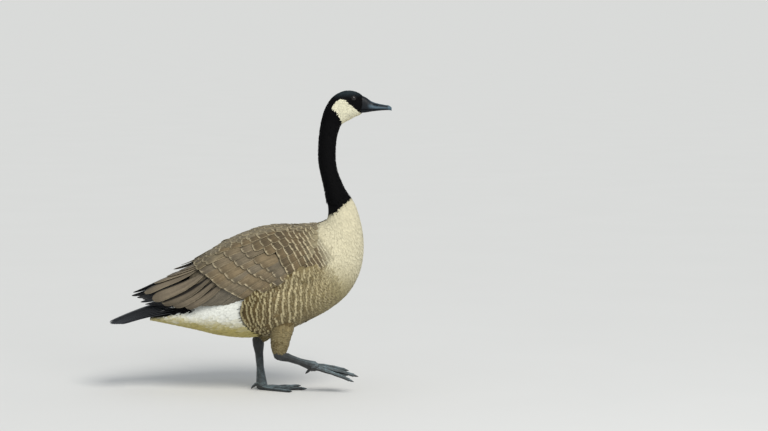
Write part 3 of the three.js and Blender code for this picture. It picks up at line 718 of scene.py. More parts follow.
def flank_rear(p):
    """How far a place lies in front of the curved rear edge of the flank."""
    return p[..., 0] - FLANK_REAR["curve"] * (np.minimum(p[..., 2], FLANK_REAR["top"]) - FLANK_REAR["middle"]) ** 2


def flank_share(p):
    """How far a place belongs to the barred brown flank, from 0 to 1."""
    x, z = p[..., 0], p[..., 2]
    front = 1 - smooth(95, 205, x + 0.10 * (z - 220))
    high = 1 - smooth(2, 22, z - height_at(FLANK_TOP, x)) * (x < 150)
    return smooth(-26, -18, flank_rear(p)) * front * high * smooth(104, 124, z)


def vent_colours(p, speckle):
    """White below the wings, turning ochre low along the belly, black on the rump and beside the tail."""
    x, z = p[..., 0], p[..., 2]
    ripple = 3 * np.sin(x / 11 + 2 * np.sin(z / 8))
    ochre_low = smooth(-20, 24, 160 - z + 3 * speckle + ripple - 0.06 * (x + 100))
    rump = smooth(-14, 6, z - (232 + 0.35 * (x + 90)) + speckle * 4) * (1 - smooth(-60, -30, x))
    beside = smooth(-1.5, 1.5, z - (174 + 0.24 * (x + 144)) + speckle) * (1 - smooth(-116, -108, x))
    return mix(mix(WHITE, OCHRE, (0.92 * ochre_low)[..., None]), BLACK, np.maximum(rump, beside)[..., None])


def body_colours(p, speckle):
    """Colour of the plumage at places on the body, before each feather's own difference."""
    x, z = p[..., 0], p[..., 2]
    breast = mix(TAN, CREAM, smooth(212, 312, z + 0.30 * (x - 200))[..., None])
    flank = mix(breast, mix(UMBER, BROWN, smooth(-20, 50, x)[..., None]), flank_share(p)[..., None])
    colour = mix(vent_colours(p, speckle), flank, smooth(-24, -19, flank_rear(p) + speckle)[..., None])
    shoulder = 1 - smooth(-6, 12, x + 0.30 * (z - 330) - 158 + speckle * 3)
    back = smooth(-4, 8, z - height_at(SCAPULAR_FLOOR, x) + speckle * 2) * smooth(-60, -30, x) * shoulder
    colour = mix(colour, mix(MANTLE, MANTLE_WARM, 0.5), back[..., None])
    neck = (collar(p) + speckle * 1.6 > 0) & (x > NECK_BACK)
    # Black neck and head, with the painted crown sheen towards the top of the head
    colour = np.where(neck[..., None], mix(BLACK, PAINTED_CROWN_SHEEN, smooth(642, 660, z)[..., None]), colour)
    patch = inside(CHEEK_PATCH, x + speckle * 0.5, z + speckle * 0.5)
    cheek = mix(CHEEK, CHEEK_LOW, 0.7 * smooth(-2, 20, 602 - z + 0.45 * (x - 215))[..., None])
    return np.where(patch[..., None], cheek, colour)


def thigh_colours(p, speckle):
    wave = np.sin(p[:, 2] / 1.9 + 1.5 * np.sin(p[:, 0] / 5) + 0.9 * speckle)
    dark = smooth(-0.4, 0.7, wave) * (1 - 0.6 * smooth(112, 140, p[:, 2]))
    return mix(mix(TAN, BROWN, 0.6), mix(UMBER, BROWN, 0.2), 0.85 * dark[:, None])


def plain_marks(base):
    return np.clip(base * 1.10 + 0.0005, 0, 1), np.broadcast_to([0.8, 2.0, 0.5], base.shape)


def thigh_marks(base):
    return np.broadcast_to(mix(BROWN, TAN, 0.75), base.shape), np.broadcast_to([0.84, 2.0, 0.6], base.shape)


def under_wing(p, margin=14):
    """Places on the body that the folded wing hides, except for a margin in degrees along its lower edge."""
    x, y, z = p[..., 0], np.abs(p[..., 1]), p[..., 2]
    _, top, middle, half = wing_roof(x)
    theta = np.degrees(np.arctan2(y / half, (z - middle) / (top - middle)))
    low = CORE["lowest"] - CORE["front_rise"] * np.clip(1 - (CORE["front"] - x) / HIDDEN["length"], 0, 1) ** 3
    return (theta > HIDDEN["ridge"]) & (theta < low - margin) & (x < HIDDEN["front"]) & (x > HIDDEN["back"])


# Skin and small feathers of the body
SKIN_GRID, THIGH_GRID = (260, 120), (40, 48)
SKIN_VOXEL = 0.0024  # metres
THIGH_SKIN_DEPTH, THIGH_COAT_DEPTH = 2.2, 2.0
COAT_VARIES = {"length": 0.12, "width": 0.10, "turn": 0.09, "rise": 0.35}


def build_skin():
    """One closed skin under the coat: the body's loft and the thighs, remeshed into one."""
    t, a = lattice((END, LAST - END), FULL_TURN, *SKIN_GRID, ring=True)
    p, normal, _, _ = SKIN.frame(t, a)
    depth = spline(COAT_DEPTH, t) + EYE["socket"] * bell(near_eye(p), 5.6, 4) * (np.abs(p[..., 1]) > 6)
    verts, faces = tube_mesh(p - normal * depth[..., None])
    for side in SIDES:
        p = THIGH[side].point(*lattice((0.96, 0.075), FULL_TURN, *THIGH_GRID, ring=True))
        inner = p - unit(p - p.mean(1, keepdims=True)) * THIGH_SKIN_DEPTH
        more, more_faces = tube_mesh(inner[::-1])
        faces = np.concatenate([faces, more_faces + len(verts)])
        verts = np.concatenate([verts, more])
    raw = make_object("skin_raw", verts, faces, UNDER)
    remesh = raw.modifiers.new("one_skin", "REMESH")
    remesh.mode = "VOXEL"
    remesh.voxel_size = SKIN_VOXEL
    shape = bpy.data.meshes.new_from_object(raw.evaluated_get(bpy.context.evaluated_depsgraph_get()))
    bpy.data.objects.remove(raw)
    co = np.empty(len(shape.vertices) * 3, np.float32)
    shape.vertices.foreach_get("co", co)
    places = (co.reshape(-1, 3) - SHIFT) * 1000
    shape.polygons.foreach_set("use_smooth", np.ones(len(shape.polygons), bool))
    skin = add_object("skin", shape)
    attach(skin, "root")
    colours = body_colours(places, np.zeros(len(places)))
    thighs = (places[:, 2] < 128 - 12 * (places[:, 0] < 30)) & (np.abs(places[:, 1]) > 20)
    set_colour(skin, "Base", np.where(thighs[:, None], mix(BROWN, TAN, 0.3), colours))
    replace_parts(skin, "torso", "neck_lower", "neck_upper", "head", "thigh_left", "thigh_right")


# root sets how dark the painted shade at the feathers' roots is
def coat(name, surface, u_range, spacing, size, keep, slot_name, material, rise=0.4, rows=TUFT_ROWS, root=0.9,
         marks=plain_marks, colours=body_colours, depth=None, speckled=1.0, v_range=(-np.pi, np.pi), tone=0.07,
         flat=0.75, cup=0.10, tries=3.0):
    """Feathers of about one size, (length, width), scattered over part of a surface."""
    u, v, p = scatter(surface, u_range, v_range, spacing, keep, tries)
    jitter = gauss(4, len(u))
    length = size[0] * (1 + COAT_VARIES["length"] * jitter[0])
    width = size[1] * (1 + COAT_VARIES["width"] * jitter[1])
    deep = flat * (spline(COAT_DEPTH, u) if depth is None else np.full(len(u), depth))
    points = tufts(surface, u, v, length, width, COAT_VARIES["turn"] * jitter[2], -deep,
                   deep + rise * (1 + COAT_VARIES["rise"] * jitter[3]), rows, TUFT_COLUMNS, cup=cup)
    base = colours(p, speckled * gauss(len(u))) * varied(tone, len(u))
    rim, mark = marks(base)
    feather_piece(name, points, rows, TUFT_COLUMNS, (np.clip(base, 0.0015, 1), rim, mark), root, material,
                  vec(u, v))


def build_body_coats():
    velvet = {"slot_name": "black_plumage", "material": VELVET}
    down = {"slot_name": "breast_plumage", "material": DOWN, "flat": 0.35}
    coat("coat_head", SKIN, (17.2, LAST - 0.1), 1.5, (3.8, 2.4), lambda p, u, v: near_eye(p) > 6.3, **velvet,
         rise=0.2, rows=TINY_ROWS, speckled=0.8)
    coat("coat_bill_root", BILL_TOP, (0.25, 1.0), 1.4, (3.4, 2.2),
         lambda p, u, v: p[:, 0] < 251.5 - 3 * np.abs(np.sin(v)), **velvet, rise=0.15, depth=0.3, rows=TINY_ROWS,
         colours=lambda p, speckle: np.broadcast_to(BLACK, p.shape), v_range=(-1.5, 1.5))
    coat("coat_neck", SKIN, (13.2, 17.3), 2.5, (8, 4), lambda p, u, v: collar(p) > 5, **velvet)
    coat("coat_collar", SKIN, (12.4, 14.9), 1.9, (5.2, 3.0), lambda p, u, v: np.abs(collar(p) - 2) < 6, **velvet,
         rise=0.3, speckled=1.4)
    coat("coat_breast", SKIN, (8.2, 14.2), 3.3, (14, 6.5),
         lambda p, u, v: (collar(p) < -2.5) & ~under_wing(p) & (flank_share(p) < 0.8), **down, rise=0.35, root=0.94,
         tone=0.03, cup=0.04, tries=8.0, speckled=0.25)
    coat("coat_belly", SKIN, (4.2, 10.2), 4.2, (18, 8),
         lambda p, u, v: (p[:, 2] < 150) & (flank_share(p) < 0.85) & (u < 8.8) & (flank_rear(p) > -15), **down,
         root=0.94, tone=0.04, cup=0.04, tries=6.0)
    coat("coat_vent", SKIN, (0.2, 5.8), 4.2, (24, 8.5),
         lambda p, u, v: (p[:, 0] < 40) & (flank_share(p) < 0.6) & ~under_wing(p, 30), **down, rise=0.35, root=0.98,
         tone=0.02, cup=0.03, colours=vent_colours)
    coat("coat_back", SKIN, (5.0, 11.6), 6.0, (24, 13),
         lambda p, u, v: (np.abs(v) < 0.9) & (p[:, 2] > 330) & (p[:, 0] < 156), "wing_plumage", VANES, rise=0.8)
    for side, word in SIDES.items():
        for part, span, gap, size in (("", (0.2, 0.8), 4.2, (16, 9)), ("_hem", (0.12, 0.3), 2.6, (7, 4.5))):
            coat(f"coat_thigh_{word}{part}", THIGH[side], span, gap, size, lambda p, u, v: p[:, 2] < 150,
                 "thigh_plumage", BARRED, depth=THIGH_COAT_DEPTH, colours=thigh_colours, marks=thigh_marks)


# Flanks and shoulders
FLANK_SPAN = (-19.0, 194)
FLANK_LEVELS = (112, 352)
BAR_CURVE = 0.0145  # of the rearmost bar; those in front of it run straighter
SHOULDER_ROWS = [113, 124, 135, 146, 155, 163.5, 171]
SHOULDER_GAP = 10.5
SHOULDER_LEVELS = (262, 366.0)


def settle(spots, side, loose_x, loose_z, reach):
    """Rows of feathers found again on the body, each a little off its place, with their other columns."""
    x, z, *others = np.array(spots).T
    x = x + loose_x * gauss(len(x))
    z = z + loose_z * gauss(len(z))
    t, a = locate(x, z, side)
    p = body_point(t, a)
    good = (np.hypot(p[:, 0] - x, p[:, 2] - z) < reach) & (collar(p) < -8)
    return [values[good] for values in (t, a, p, x, z, *others)]


def build_flank(side):
    """Rows of broad feathers whose pale tips line up as bars across the flank."""
    spots = []
    x0, row = FLANK_SPAN[0], 0
    while x0 < FLANK_SPAN[1]:
        step = mix(mix(11.0, 13.5, smooth(-10, 30, x0)), 9.4, smooth(95, 150, x0))
        pitch = mix(7.5, 6.0, smooth(60, 150, x0))
        curve = BAR_CURVE * np.exp(-(x0 + 20) / 45)
        sway = RNG.uniform(0, 6.3, 2)
        for level in np.arange(FLANK_LEVELS[0] + (row % 2) * pitch / 2, FLANK_LEVELS[1], pitch):
            place = x0 + curve * (level - FLANK_REAR["middle"]) ** 2 + 0.10 * max(level - 216, 0) * smooth(110, 160, x0)
            place += (1.6 * math.sin(level / 13 + sway[0]) + 0.9 * math.sin(level / 5 + sway[1])) * smooth(-19, 0, x0)
            above = level - height_at(FLANK_TOP, place)
            plain = place > 120 and (level + 0.25 * (place - 180) > 308 or place + 0.5 * (level - 220) > 200)
            if plain or (above > 3 and place < 150) or (place >= 150 and above > 55 * smooth(146, 176, place)):
                continue
            long = smooth(30, 150, x0)
            spots.append((place, level, mix(31, 20, long), pitch * 2.5, x0, 0))
            if x0 > 10 and RNG.uniform() < 0.75:
                spots.append((place + step * RNG.uniform(0.42, 0.62), level + RNG.normal(0, 1.5),
                              mix(30, 19, long), pitch * 2.2, x0, 1))
        x0 += step * RNG.uniform(0.9, 1.1)
        row += 1
    t, a, p, x, z, length, width, x0s, faint = settle(spots, side, 0.6, 0.7, 2.5)
    count = len(t)
    rise = 1.9 + 0.2 * gauss(count)
    turn = (0.10 + 0.30 * smooth(110, 170, x0s)) * np.sign(a) + 0.04 * gauss(count)
    points = tufts(FLANK, t, a, length, width, turn, np.full(count, -1.3), rise, BAR_ROWS, BAR_COLUMNS,
                   from_tip=True, point=0.74, cup=0.05, square=2.8)
    strong = (1 - 0.25 * smooth(90, 150, x0s)) * (1 - 0.75 * smooth(165, 200, x0s))
    strong = strong * smooth(112, 160, z + 30 * (x0s < 40) - 34 * smooth(80, 130, x0s)) * np.where(faint, 0.5, 1)
    breast = body_colours(p, np.zeros(count))
    brown = mix(UMBER, BROWN, smooth(-20, 50, x0s)[:, None])
    front = smooth(95, 200, x + 0.10 * (z - 220))[:, None]
    edge = np.maximum(smooth(276, 304, z + 0.25 * (x - 180)) * (x > 120),
                      smooth(162, 196, x + 0.5 * (z - 220)))[:, None]
    tone = mix(mix(brown, TAN, 0.35 * smooth(20, 110, x0s)[:, None]), mix(BROWN, TAN, 0.42), front)
    tone = mix(tone, breast * 1.06, 0.92 * edge) * varied(0.10 - 0.07 * edge, count)
    pale = mix(mix(PALE_BAR, TAN, 0.75), PALE_BAR, smooth(-10, 60, x0s)[:, None]) * varied(0.10, count)
    rim = mix(mix(tone, pale, (0.25 + 0.75 * strong)[:, None]), breast, 0.92 * edge)
    tip = np.where(faint, 2.2, mix(mix(3.3, 4.3, smooth(10, 60, x0s)), 3.2, smooth(80, 150, x0s)))
    mark = vec(1 - tip / length, np.full(count, 1.4), 0.35 + 0.6 * strong)
    feather_piece(f"flank_{SIDES[side]}", points, BAR_ROWS, BAR_COLUMNS, (np.clip(tone, 0.01, 1), rim, mark), 0.9,
                  BARRED, vec(t, a))


def build_shoulder(side):
    """Oblique rows of dark, pale-tipped feathers where the scapulars run forward on to the body."""
    spots = []
    last = len(SHOULDER_ROWS)
    for row, middle in enumerate(SHOULDER_ROWS):
        z = SHOULDER_LEVELS[1] - 3.5 * (row % 2)
        while z > SHOULDER_LEVELS[0]:
            x = middle + 0.60 * (300 - z) + 1.5 * math.sin(z / 11 + row)
            if z > height_at(SCAPULAR_FLOOR, x) + 2:
                spots.append((x, z, SHOULDER_GAP * 2.4, 15, row))
            z -= 7.4
    t, a, _, x, z, length, width, row = settle(spots, side, 0.4, 0.5, 2.0)
    count = len(t)
    turn = 0.42 * np.sign(a) + 0.03 * gauss(count)
    rise = mix(4.6, 2.0, smooth(0, last - 2, row)) + 0.2 * gauss(count)
    points = tufts(SKIN, t, a, length, width, turn, np.full(count, -1.0), rise, BAR_ROWS, BAR_COLUMNS,
                   from_tip=True, point=0.8, cup=0.04, square=3.0)
    fade = smooth(last - 4.5, last - 0.5, row + 1.2 * smooth(300, 270, z))[:, None]
    base = mix(mix(MANTLE, MANTLE_WARM, RNG.uniform(0, 0.8, (count, 1))), mix(TAN, CREAM, 0.8), 0.9 * fade)
    rim = mix(mix(EDGE, TAN, 0.25), CREAM, fade) * varied(0.06, count)
    mark = vec(1 - 2.6 / length, np.full(count, 1.4), 0.9 - 0.3 * fade[:, 0])
    feather_piece(f"shoulder_{SIDES[side]}", points, BAR_ROWS, BAR_COLUMNS, (np.clip(base, 0.01, 1), rim, mark), 0.85,
                  VANES, vec(t, a))


# Rows of wing feathers, from the one nearest the back to the lowest: width, length and degrees of climb from tip
# to root at the row's two ends, the free share of their length, how each lies under the last and rolls, heights
# over the roof at root, cover and tip, where the tip begins to round, skew, and the painted shadow on the side under
# the next feather: how dark it makes that side and where across it begins. Tips are places (X, Z) seen from the side.
TIER_KEYS = ("name", "count", "width", "reach", "climb", "free", "stack", "roll", "lift", "point", "skew", "colour",
             "edge", "tip", "side", "material", "dark", "shadow_at", "tips")
TIERS = [dict(zip(TIER_KEYS, row)) for row in (
    ("primaries", 5, (17, 15), (170, 150), (18, 24), 0.5, 0.5, 0.07, (-12, -9.0, -7.6), 0.55, 0, TAIL_BLACK,
     0.05, 0.98, 0.95, QUILLS, 1.0, None, [(-243, 206), (-247, 193), (-232, 184), (-210, 181)]),
    ("secondaries", 10, (31, 27), (100, 84), (36, 42), 0.6, 0.1, 0.03, (-8, -3.9, -3.1), 0.8, 0, PANEL,
     0.06, 0.975, 0.95, QUILLS, 0.85, None, [(-140, 196), (-120, 195), (-92, 195), (-52, 197), (-12, 203)]),
    ("tertials", 8, (27, 25), (180, 124), (21, 36), 0.62, 0.12, 0.15, (-3.0, -2.4, 1.4), 0.82, 0, TERTIAL,
     0.5, 0.985, 0.93, VANES, 0.08, (-0.6, -0.6, -0.6, -0.6, -0.85, 0.02, 0.02, -0.15),
     [(-158, 267), (-187, 251), (-214, 234), (-234, 215), (-217, 203), (-195, 197), (-171, 192), (-142, 189)]),
    ("greater_coverts", 10, (30, 27), (84, 66), (26, 36), 0.72, 0.08, 0.05, (-7.5, -1.4, 2.0), 0.86, 0.5, COVERT,
     0.95, 0.957, 0.95, VANES, 0.7, None, [(-126, 274), (-102, 261), (-66, 239), (-38, 222), (-10, 206), (6, 200)]),
    ("median_coverts", 9, (29, 25), (72, 60), (26, 34), 0.74, 0.05, 0.06, (-7.5, -1.0, 2.4), 0.8, 0.35, COVERT,
     0.8, 0.945, 0.93, VANES, 0.75, None, [(-92, 288), (-60, 267), (-38, 250), (-5, 239), (20, 231)]),
    ("lesser_coverts", 9, (26, 23), (64, 54), (24, 32), 0.74, 0.05, 0.06, (-7.5, -0.6, 2.6), 0.76, 0.3, COVERT,
     0.65, 0.94, 0.92, VANES, 0.8, None, [(-56, 302), (-22, 281), (9, 264), (33, 252), (50, 246)]),
    ("shoulder_coverts", 8, (23, 19), (58, 48), (22, 30), 0.74, 0.05, 0.06, (-7, -0.2, 2.9), 0.74, 0.25, COVERT,
     0.65, 0.94, 0.92, VANES, 0.8, None, [(-18, 312), (14, 290), (42, 270), (64, 257), (84, 252)]),
)]
LEFT_TERTIALS_SHORTER = 30
LEFT_PRIMARIES = {"shift": (-22, -4), "climb": 6, "wider": 7}
ROOTS_BEHIND = 150
MANTLE_ROWS = (146, -136, -11.0)
MANTLE_DEGREES = ((-21, -7, 7, 21), (-27, -14, 0, 14, 27))
SCAPULAR_ROWS = [166, 156, 146, 135, 124.5, 113, 99, 82, 62, 40, 16, -10, -38, -68]


# Wings
def wing_vanes(side, roots, tips, width, lift, free, roll, point, stack=0.0, square=2.0, skew=0.0):
    """Tops of thin plates on the wing's roof from roots to tips, each (n, 2) of X and radians."""
    s = VANE_ROWS[None, :, None]
    x, angle = (mix(wide(roots[:, i]), wide(tips[:, i]), s) for i in (0, 1))
    _, top, middle, half = wing_roof(x)
    radius = np.hypot(half * np.cos(angle), (top - middle) * np.sin(angle))
    run_x = wide(tips[:, 0] - roots[:, 0])
    run_a = wide(tips[:, 1] - roots[:, 1]) * radius
    size = np.hypot(run_x, run_a)
    across = VANE_COLUMNS * wide(width) / 2 * outline(s, point, square)
    ahead = -skew * across * smooth(0.3, 1, s)
    u = x + (run_a * across + run_x * ahead) / size
    v = angle + (run_a * ahead - run_x * across) / size / radius
    hidden = 1 - free
    height = np.where(s < hidden, mix(lift[0], lift[1], s / hidden), mix(lift[1], lift[2], (s - hidden) / free))
    height = height - stack * wide(np.arange(len(roots)))
    height = height + roll * across + SHAFT_RISE * bell(VANE_COLUMNS, SHAFT_WIDTH)
    _, normal, _, _ = WING[side].frame(u, v)
    return WING[side].point(u, v) + normal * height[..., None]


def along_line(points, count):
    """Places spread evenly along a smooth line through points."""
    points = np.asarray(points, float)
    fine = vec(*splines(points, np.linspace(0, len(points) - 1, 200)))
    walk = np.concatenate([[0], np.cumsum(np.linalg.norm(np.diff(fine, axis=0), axis=1))])
    at = np.linspace(0, walk[-1], count)
    return vec(*(np.interp(at, walk, fine[:, i]) for i in (0, 1)))


def tier_feathers(side, tier):
    name, count, skew = tier["name"], tier["count"], tier["skew"]
    k = np.linspace(0, 1, count)
    given = len(tier["tips"]) == count
    tips = np.asarray(tier["tips"], float) if given else along_line(tier["tips"], count)
    tips = tips + (1.5 if skew else 0.7) * gauss(*tips.shape)
    if side == LEFT and name == "tertials":
        tips[:, 0] += LEFT_TERTIALS_SHORTER * smooth(-150, -230, tips[:, 0])
    far = side == LEFT and name == "primaries"
    if far:
        tips += LEFT_PRIMARIES["shift"]
    climb = np.radians(mix(*tier["climb"], k) + LEFT_PRIMARIES["climb"] * far)
    roots = tips + mix(*tier["reach"], k)[:, None] * vec(np.cos(climb), np.sin(climb))
    width = (mix(*tier["width"], k) + LEFT_PRIMARIES["wider"] * far) * (1 + 0.04 * gauss(count))
    roots[:, 0] = np.minimum(roots[:, 0], ROOTS_BEHIND)
    top = wing_vanes(side, on_roof(roots), on_roof(tips), width, tier["lift"], tier["free"], tier["roll"],
                     tier["point"], tier["stack"], 3.2 if skew else 2.0, skew)
    base = np.asarray(tier["colour"]) * varied(0.10, count)
    if tier["colour"] == COVERT:
        base = mix(base, COVERT_WARM, RNG.uniform(0, 0.85, (count, 1)))
    rim = np.asarray(EDGE) * varied(0.12, count)
    mark = np.array([tier["tip"], tier["side"], 0]) + np.outer(tier["edge"] * RNG.uniform(0.7, 1.1, count), (0, 0, 1))
    plate_piece(f"{name}_{SIDES[side]}", top, (base, rim, mark), -PLATE * side, tier["material"],
                tier["dark"], tier["shadow_at"])


def scapular_feathers(side):
    """Oblique rows on the shoulder and back, their pale tips in line."""
    tips, size = [], []
    for middle, after in zip(SCAPULAR_ROWS, SCAPULAR_ROWS[1:] + [SCAPULAR_ROWS[-1] - 30]):
        gap = middle - after
        pitch = mix(11.5, 17, smooth(10, 18, gap))
        z = 362.0 - pitch * 0.43 * (SCAPULAR_ROWS.index(middle) % 2)
        while True:
            x = middle + 0.60 * (300 - z) * smooth(-90, 40, middle)
            if z < height_at(SCAPULAR_FLOOR, x):
                break
            if z < wing_roof(np.array(x))[1] - 1.0 and x < 138:
                tips.append((x, z))
                size.append((gap * 2.1 + 6, pitch * 1.7))
            z -= pitch * 0.86
    count = len(tips)
    tips = np.array(tips) + 0.8 * gauss(count, 2)
    length, width = np.array(size).T
    climb = np.radians(mix(30, 16, smooth(60, -40, tips[:, 0])))
    roots = tips + length[:, None] * vec(np.cos(climb), np.sin(climb) * smooth(372, 325, tips[:, 1]))
    roots[:, 0] = np.minimum(roots[:, 0], ROOTS_BEHIND + 2)
    top = wing_vanes(side, on_roof(roots), on_roof(tips), width, (-6, 0.2, 3.6), 0.74, 0.04, 0.8, square=3.2)
    base = mix(MANTLE, MANTLE_WARM, RNG.uniform(0, 1, (count, 1)))
    base = mix(base, COVERT_WARM, 0.6 * smooth(60, -60, tips[:, :1]))
    base = mix(base, mix(TAN, CREAM, 0.4), 0.6 * smooth(108, 136, tips[:, :1]))
    rim = mix(EDGE, TAN, 0.2) * varied(0.08, count)
    mark = vec(1 - 3.4 / length, np.full(count, 0.93), np.full(count, 0.85))
    # 0.8 darkens the side under the next scapular as a painted shadow
    plate_piece(f"scapulars_{SIDES[side]}", top, (base, rim, mark), -PLATE * side, VANES, 0.8)


def mantle_feathers():
    """Pale-edged feathers down the middle of the back, over the line where the two wings meet."""
    tips = []
    for row, x in enumerate(np.arange(*MANTLE_ROWS)):
        for degrees in MANTLE_DEGREES[row % 2]:
            degrees *= mix(1, 1.5, smooth(-70, -110, x))
            tips.append((x + 4 * abs(degrees) / 13, math.radians(degrees)))
    count = len(tips)
    tips = np.array(tips) + gauss(count, 2) * (2.6, 0.02)
    large = smooth(120, -20, tips[:, 0])
    size, width = mix(36, 56, large), mix(17, 24, large)
    roots = vec(np.minimum(tips[:, 0] + size, 156), tips[:, 1] * 0.8)
    top = wing_vanes(RIGHT, roots, tips, width, (-6, 0.4, 3.8), 0.72, 0.0, 0.74, square=2.6)
    base = mix(mix(MANTLE_WARM, CREAM, 0.28), MANTLE, RNG.uniform(0, 0.6, (count, 1)))
    base = mix(base, MANTLE, 0.8 * smooth(-70, -115, tips[:, :1]))
    mark = vec(1 - 4.0 / size, np.full(count, 0.8), RNG.uniform(0.3, 0.7, count))
    rim = np.broadcast_to(mix(EDGE, TAN, 0.3), base.shape)
    plate_piece("mantle", top, (base, rim, mark), PLATE, VANES)


def build_wing(side):
    rows, columns = CORE["grid"]
    u, v = lattice((0, 1), (0, 1), rows, columns)
    edge = np.minimum(1, np.minimum(7 * np.minimum(u, 1.1 - u), 5 * np.minimum(v + 0.1, 1.1 - v)))
    lowest = CORE["lowest"] - CORE["front_rise"] * (1 - u) ** 3 - CORE["rear_rise"] * u ** 4
    angle = np.radians(mix(CORE["highest"] + 6 * u, lowest, v))
    x = mix(CORE["front"] - CORE["recede"] * v * v, CORE["back"], u)
    point, normal, _, _ = WING[side].frame(x, angle)
    top = point + normal * (CORE["top"] - CORE["edge"] * (1 - edge))[..., None]
    under = point + normal * CORE["bottom"]
    ring = np.concatenate([top, under[:, ::-1]], 1)
    core = make_object(f"wing_arm_{SIDES[side]}", ring, close_plates(1, rows, columns), UNDER)
    set_colour(core, "Base", np.asarray(COVERT) * 0.7)
    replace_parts(core, f"wing_{SIDES[side]}")
    for tier in TIERS:
        tier_feathers(side, tier)
    scapular_feathers(side)


# Tail: its quills and the coverts over their roots. Places and sizes, then degrees of fan and droop, how far each
# lies under the next, and how the whole arches, sinks at its sides and bows.
TAIL_KEYS = ("name", "count", "x", "z", "half", "length", "shorter", "width", "fan", "droop", "outer_droop", "layer",
             "arch", "sink", "bow", "colour", "edge", "rim")
TAIL, UPPER_COVERTS = (dict(zip(TAIL_KEYS, row)) for row in (
    ("tail_quills", 18, -150, 206, 17, 165, 26, 25, 16, 19, 8.5, 0.9, 3, 18, 5, TAIL_BLACK_WITH_SHEEN, 0.5, TAIL_RIM),
    ("tail_coverts", 15, -112, 224, 21, 66, 0, 20, 18, 19.5, 15, 0.45, 3, 13, 0, WHITE, 0.0, WHITE),
))


def build_tail(spec, material):
    n = np.arange(spec["count"])
    middle = (spec["count"] - 1) / 2
    side = wide((n - middle) / middle)
    turn = np.radians(side * spec["fan"])
    rank = wide(np.abs(2 * (n - middle) - 0.5) - 0.5)
    reach = spec["length"] - spec["shorter"] * side ** 2
    s, c = VANE_ROWS[None, :, None], VANE_COLUMNS[None, None, :]
    across = c * spec["width"] / 2 * outline(s, 0.84)
    slope = np.tan(np.radians(mix(spec["droop"], spec["outer_droop"], side ** 2)))
    x = spec["x"] - reach * s * np.cos(turn) + across * np.sin(turn)
    y = side * spec["half"] + reach * s * np.sin(turn) + across * np.cos(turn)
    span = spec["half"] + spec["length"] * math.sin(math.radians(spec["fan"]))
    z = spec["z"] - (spec["x"] - x) * slope - spec["arch"] * (y / span) ** 2 - spec["sink"] * side ** 2
    z = z - rank * spec["layer"] + SHAFT_RISE * bell(c, SHAFT_WIDTH) - 0.5 * s + spec["bow"] * 4 * s * (1 - s)
    base = np.asarray(spec["colour"]) * varied(0.10, spec["count"])
    look = (base, np.broadcast_to(spec["rim"], base.shape), np.broadcast_to([0.97, 0.93, spec["edge"]], base.shape))
    return plate_piece(spec["name"], vec(x, y, z), look, PLATE, material)


# Bill and eyes
def carve_upper(x, y, z, a, mouth):
    """The upper half of the bill with its nostrils, its nail and the comb along its edge."""
    tilt = math.radians(NOSTRIL["tilt"])
    ahead, over = x - NOSTRIL["at"][0], z - NOSTRIL["at"][1]
    along = ahead * math.cos(tilt) - over * math.sin(tilt)
    level = ahead * math.sin(tilt) + over * math.cos(tilt)
    slot = np.clip(1 - (along / (NOSTRIL["length"] / 2)) ** 2 - (level / (NOSTRIL["height"] / 2)) ** 2, 0, 1)
    fossa = np.exp(-(along / 12) ** 4 - (level / 4.2) ** 2)
    out, above = np.abs(np.sin(a)), np.cos(a) > 0
    y = y - np.sign(y) * (3.2 * slot ** 0.5 + 0.7 * fossa) * (out > 0.35)
    z = z + 0.55 * (smooth(298.5, 300.5, x) * smooth(0.92, 0.7, out) * above)
    comb = 0.35 * np.abs(np.sin(x * 1.9)) * smooth(250, 258, x) * (1 - smooth(292, 298, x))
    return y + np.sign(y) * comb * smooth(3.2, 0.8, z - mouth) * above, z


def build_bill():
    horn = horn_material()
    t, a = lattice((0, len(BILL) - 1), FULL_TURN, *BILL_GRID, ring=True)
    x, top, mouth, chin, half, chin_half = splines(BILL, t)
    fine = np.linspace(0, len(BILL) - 1, 200)
    for name, upper in (("bill_top", True), ("bill_bottom", False)):
        y = (half if upper else chin_half) * signed_power(np.sin(a), 0.8)
        reach = top - mouth - BILL_GAP if upper else mouth - BILL_GAP - chin
        height = reach * np.maximum(np.cos(a), 0) ** 0.85
        z = mouth + BILL_GAP + height if upper else mouth - BILL_GAP - height
        if upper:
            y, z = carve_upper(x, y, z, a, mouth)
        verts, faces = tube_mesh(vec(x, y, z))
        piece = make_object(name, verts, faces if upper else faces[:, ::-1], horn)
        ridge = spline(BILL[:, 1], np.interp(verts[:, 0], spline(BILL[:, 0], fine), fine))
        level = (verts[:, 2] - 617) / (ridge - 617)
        # Painted sheen: pale bluish along the ridge and the middle of the sides; the nail at the tip is also made paler
        painted_sheen = smooth(254, 266, verts[:, 0]) * np.maximum(0.8 * bell(level - 0.42, 0.2), 0.6 * smooth(0.8, 1, level))
        painted_sheen = np.maximum(painted_sheen, smooth(299, 303, verts[:, 0]) * 0.9)
        set_colour(piece, "Base", mix((0.005, 0.007, 0.010), (0.080, 0.128, 0.165), painted_sheen[:, None]))
        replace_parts(piece, "bill_upper" if upper else "bill_lower")


def on_ball(polar, turn, side):
    """Place on a ball of radius 1 whose pole points out of one side of the head."""
    return vec(np.sin(polar) * np.cos(turn), side * np.cos(polar), np.sin(polar) * np.sin(turn))


# Rings of the eyelids: radians outside their opening, and millimetres over the eye
EYE_GRID, LID_POINTS, LID_OPENING = (40, 64), 72, (0.93, 0.74)
LID_RINGS = ((-0.02, -0.25), (0.0, 0.15), (0.05, 0.42), (0.14, 0.55), (0.28, 0.50), (0.5, 0.25), (0.75, -0.5))


